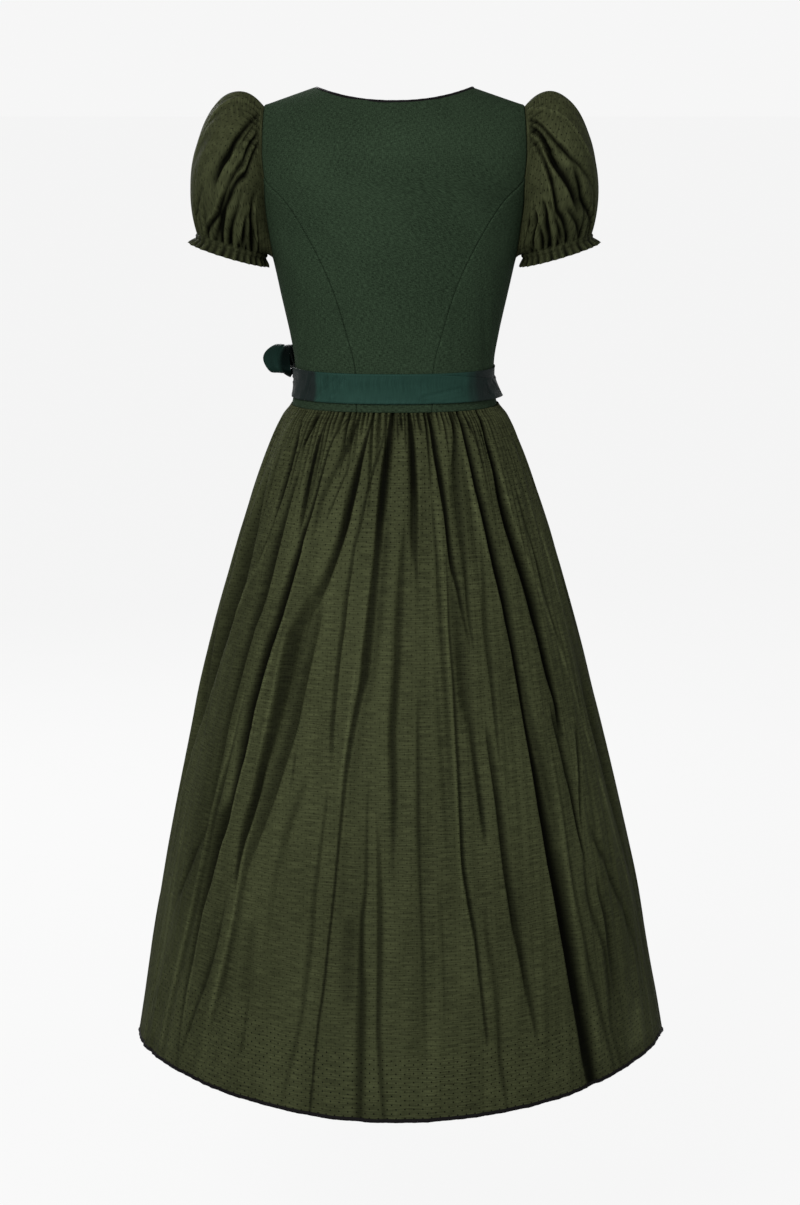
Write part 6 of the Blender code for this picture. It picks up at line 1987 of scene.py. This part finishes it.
def make_sleeve(name, sign, folds, seed, cotton):
    """A puff sleeve: seam allowance, puff with its folds, casing and ruffle in one cloth."""
    turns = np.linspace(0.0, 360.0, SLEEVE_COLUMNS + 1)[:-1]
    rows = crowd(SLEEVE_ROWS, 0.35)
    grid, tuck = sleeve_base(turns, rows)
    centre = grid.mean(axis=1, keepdims=True)
    normals = grid_normals(grid, True, centre)
    girth = np.linalg.norm(np.roll(grid, -1, axis=1) - grid, axis=2).sum(axis=1)[:, None]
    sink = sleeve_sink(turns, rows, girth, folds + FRONT_SLEEVE_FOLDS, seed)
    grid = grid - normals * sink[..., None]
    waves = ruffle_waves(turns, seed)
    low = [cuff_ring(turns, along, grow + RUFFLE_HEIGHT * wave * waves) for along, grow, wave in CUFF_SECTION]
    grid = np.concatenate([tuck, grid, np.array(low)])
    grid = grid * np.array([sign, 1.0, 1.0])
    wide = close_up(grid)
    across = run_along(wide, 1)
    flat = np.linspace(0.0, SLEEVE_CUT, across.shape[1])[None, :]
    across = (1.0 - SLEEVE_CUT_SHARE) * across + SLEEVE_CUT_SHARE * flat
    uv = np.stack([across, -run_along(wide, 0)], axis=-1)
    tone = sleeve_tone(sink, turns, rows, seed)
    # the seam allowance: painted shade in the gap under the armhole's edge
    seam = [SEAM_PAINTED_SHADE * tone[:1]] * len(tuck)
    # the ruffle: painted light on its waves' crests and painted shade in their troughs
    ruffle = np.clip(0.52 + np.linspace(0.16, 0.42, len(low))[:, None] * waves[None, :], 0.08, 1.0)
    tone = np.concatenate(seam + [tone, ruffle])
    middle = grid.mean(axis=1, keepdims=True)
    made = cloth(
        name + "_cloth", grid, cotton, [name], SLEEVE_SHELL, True, uv=uv, centre=middle,
        tone=tone, dots=0.9,
    )


# ---- light, floor and camera ---------------------------------------------------------------------

CAMERA_PLACE = (-0.0068, 3.6, 0.056)
CAMERA_TILT = 10.8
CAMERA_LENS = 88.15
CAMERA_REACH = 200.0
SENSOR = 36.0
FLOOR_Z = -1.55
FLOOR_HALF = 60.0
FLOOR_LOW = (0.028, 0.028, 0.028, 1.0)
FLOOR_HIGH = (0.031, 0.031, 0.031, 1.0)
FLOOR_GRAIN = 3.0
FLOOR_GLOW = 0.880
WHITE = (1.0, 1.0, 1.0, 1.0)
WORLD_LIGHT = 0.923
# name, place, aim, size, power
LIGHTS = (
    ("key", (1.3, 3.4, 1.3), (0.0, 0.0, -0.5), (1.4, 1.4), 260.0),
    ("fill", (-1.8, 3.0, 0.6), (0.0, 0.0, -0.6), (1.5, 1.8), 26.0),
    ("front", (1.2, -3.2, 1.2), (0.0, 0.0, -0.5), (1.8, 1.8), 180.0),
)


def aim(thing, target):
    """Turns a lamp towards its target."""
    thing.rotation_euler = (Vector(target) - thing.location).to_track_quat("-Z", "Y").to_euler()


def make_light(name, place, target, size, power):
    """A soft box that shines at its target."""
    lamp = bpy.data.lights.new(name, "AREA")
    lamp.shape = "RECTANGLE"
    lamp.size, lamp.size_y = size
    lamp.energy = power
    thing = bpy.data.objects.new(name, lamp)
    thing.location = place
    bpy.context.scene.collection.objects.link(thing)
    aim(thing, target)


def make_stage():
    """White surroundings, the pale floor and the lights."""
    world = bpy.data.worlds.new("studio")
    world.use_nodes = True
    background = world.node_tree.nodes["Background"]
    background.inputs["Color"].default_value = WHITE
    background.inputs["Strength"].default_value = WORLD_LIGHT
    bpy.context.scene.world = world
    s = Shader("pale_floor")
    place = s.nodes.new("ShaderNodeNewGeometry")
    noise = s.nodes.new("ShaderNodeTexNoise")
    s.feed(noise.inputs["Vector"], place.outputs["Position"])
    noise.inputs["Scale"].default_value = FLOOR_GRAIN
    s.feed(s.main.inputs["Base Color"], s.tint(noise.outputs[0], FLOOR_LOW, FLOOR_HIGH))
    s.main.inputs["Roughness"].default_value = 0.9
    s.main.inputs["Specular IOR Level"].default_value = 0.0
    s.main.inputs["Emission Color"].default_value = WHITE
    s.main.inputs["Emission Strength"].default_value = FLOOR_GLOW
    mesh = bpy.data.meshes.new("floor")
    r = FLOOR_HALF
    corners = [(x, y, FLOOR_Z) for x, y in ((-r, -r), (r, -r), (r, r), (-r, r))]
    mesh.from_pydata(corners, [], [(0, 1, 2, 3)])
    mesh.materials.append(s.material)
    floor = bpy.data.objects.new("floor", mesh)
    bpy.context.scene.collection.objects.link(floor)
    for name, place, target, size, power in LIGHTS:
        make_light(name, place, target, size, power)


def make_camera():
    """The photo's view: level with the bodice and tilted down."""
    lens = bpy.data.cameras.new("camera")
    lens.sensor_fit = "VERTICAL"
    lens.sensor_height = lens.sensor_width = SENSOR
    lens.lens = CAMERA_LENS
    lens.clip_end = CAMERA_REACH
    thing = bpy.data.objects.new("camera", lens)
    thing.location = CAMERA_PLACE
    thing.rotation_euler = (math.radians(90.0 - CAMERA_TILT), 0.0, math.radians(180.0))
    bpy.context.scene.collection.objects.link(thing)
    bpy.context.scene.camera = thing


# ---- the scene -----------------------------------------------------------------------------------

def main():
    """Builds everything, camera and stage first."""
    make_camera()
    make_stage()
    view = bpy.context.scene.view_settings
    view.view_transform = "Standard"
    view.look = "None"
    linen = linen_material()
    cotton = cotton_material()
    trim = trim_material()
    ribbon = ribbon_material()
    make_bodice(linen, trim)
    make_skirt(cotton, trim)
    make_apron(cotton, ribbon)
    make_ribbon(ribbon)
    make_bow(ribbon)
    make_sleeve("sleeve_left", 1.0, LEFT_SLEEVE_FOLDS, 0.0, cotton)
    make_sleeve("sleeve_right", -1.0, RIGHT_SLEEVE_FOLDS, 1.0, cotton)


main()

bpy.context.view_layer.update()
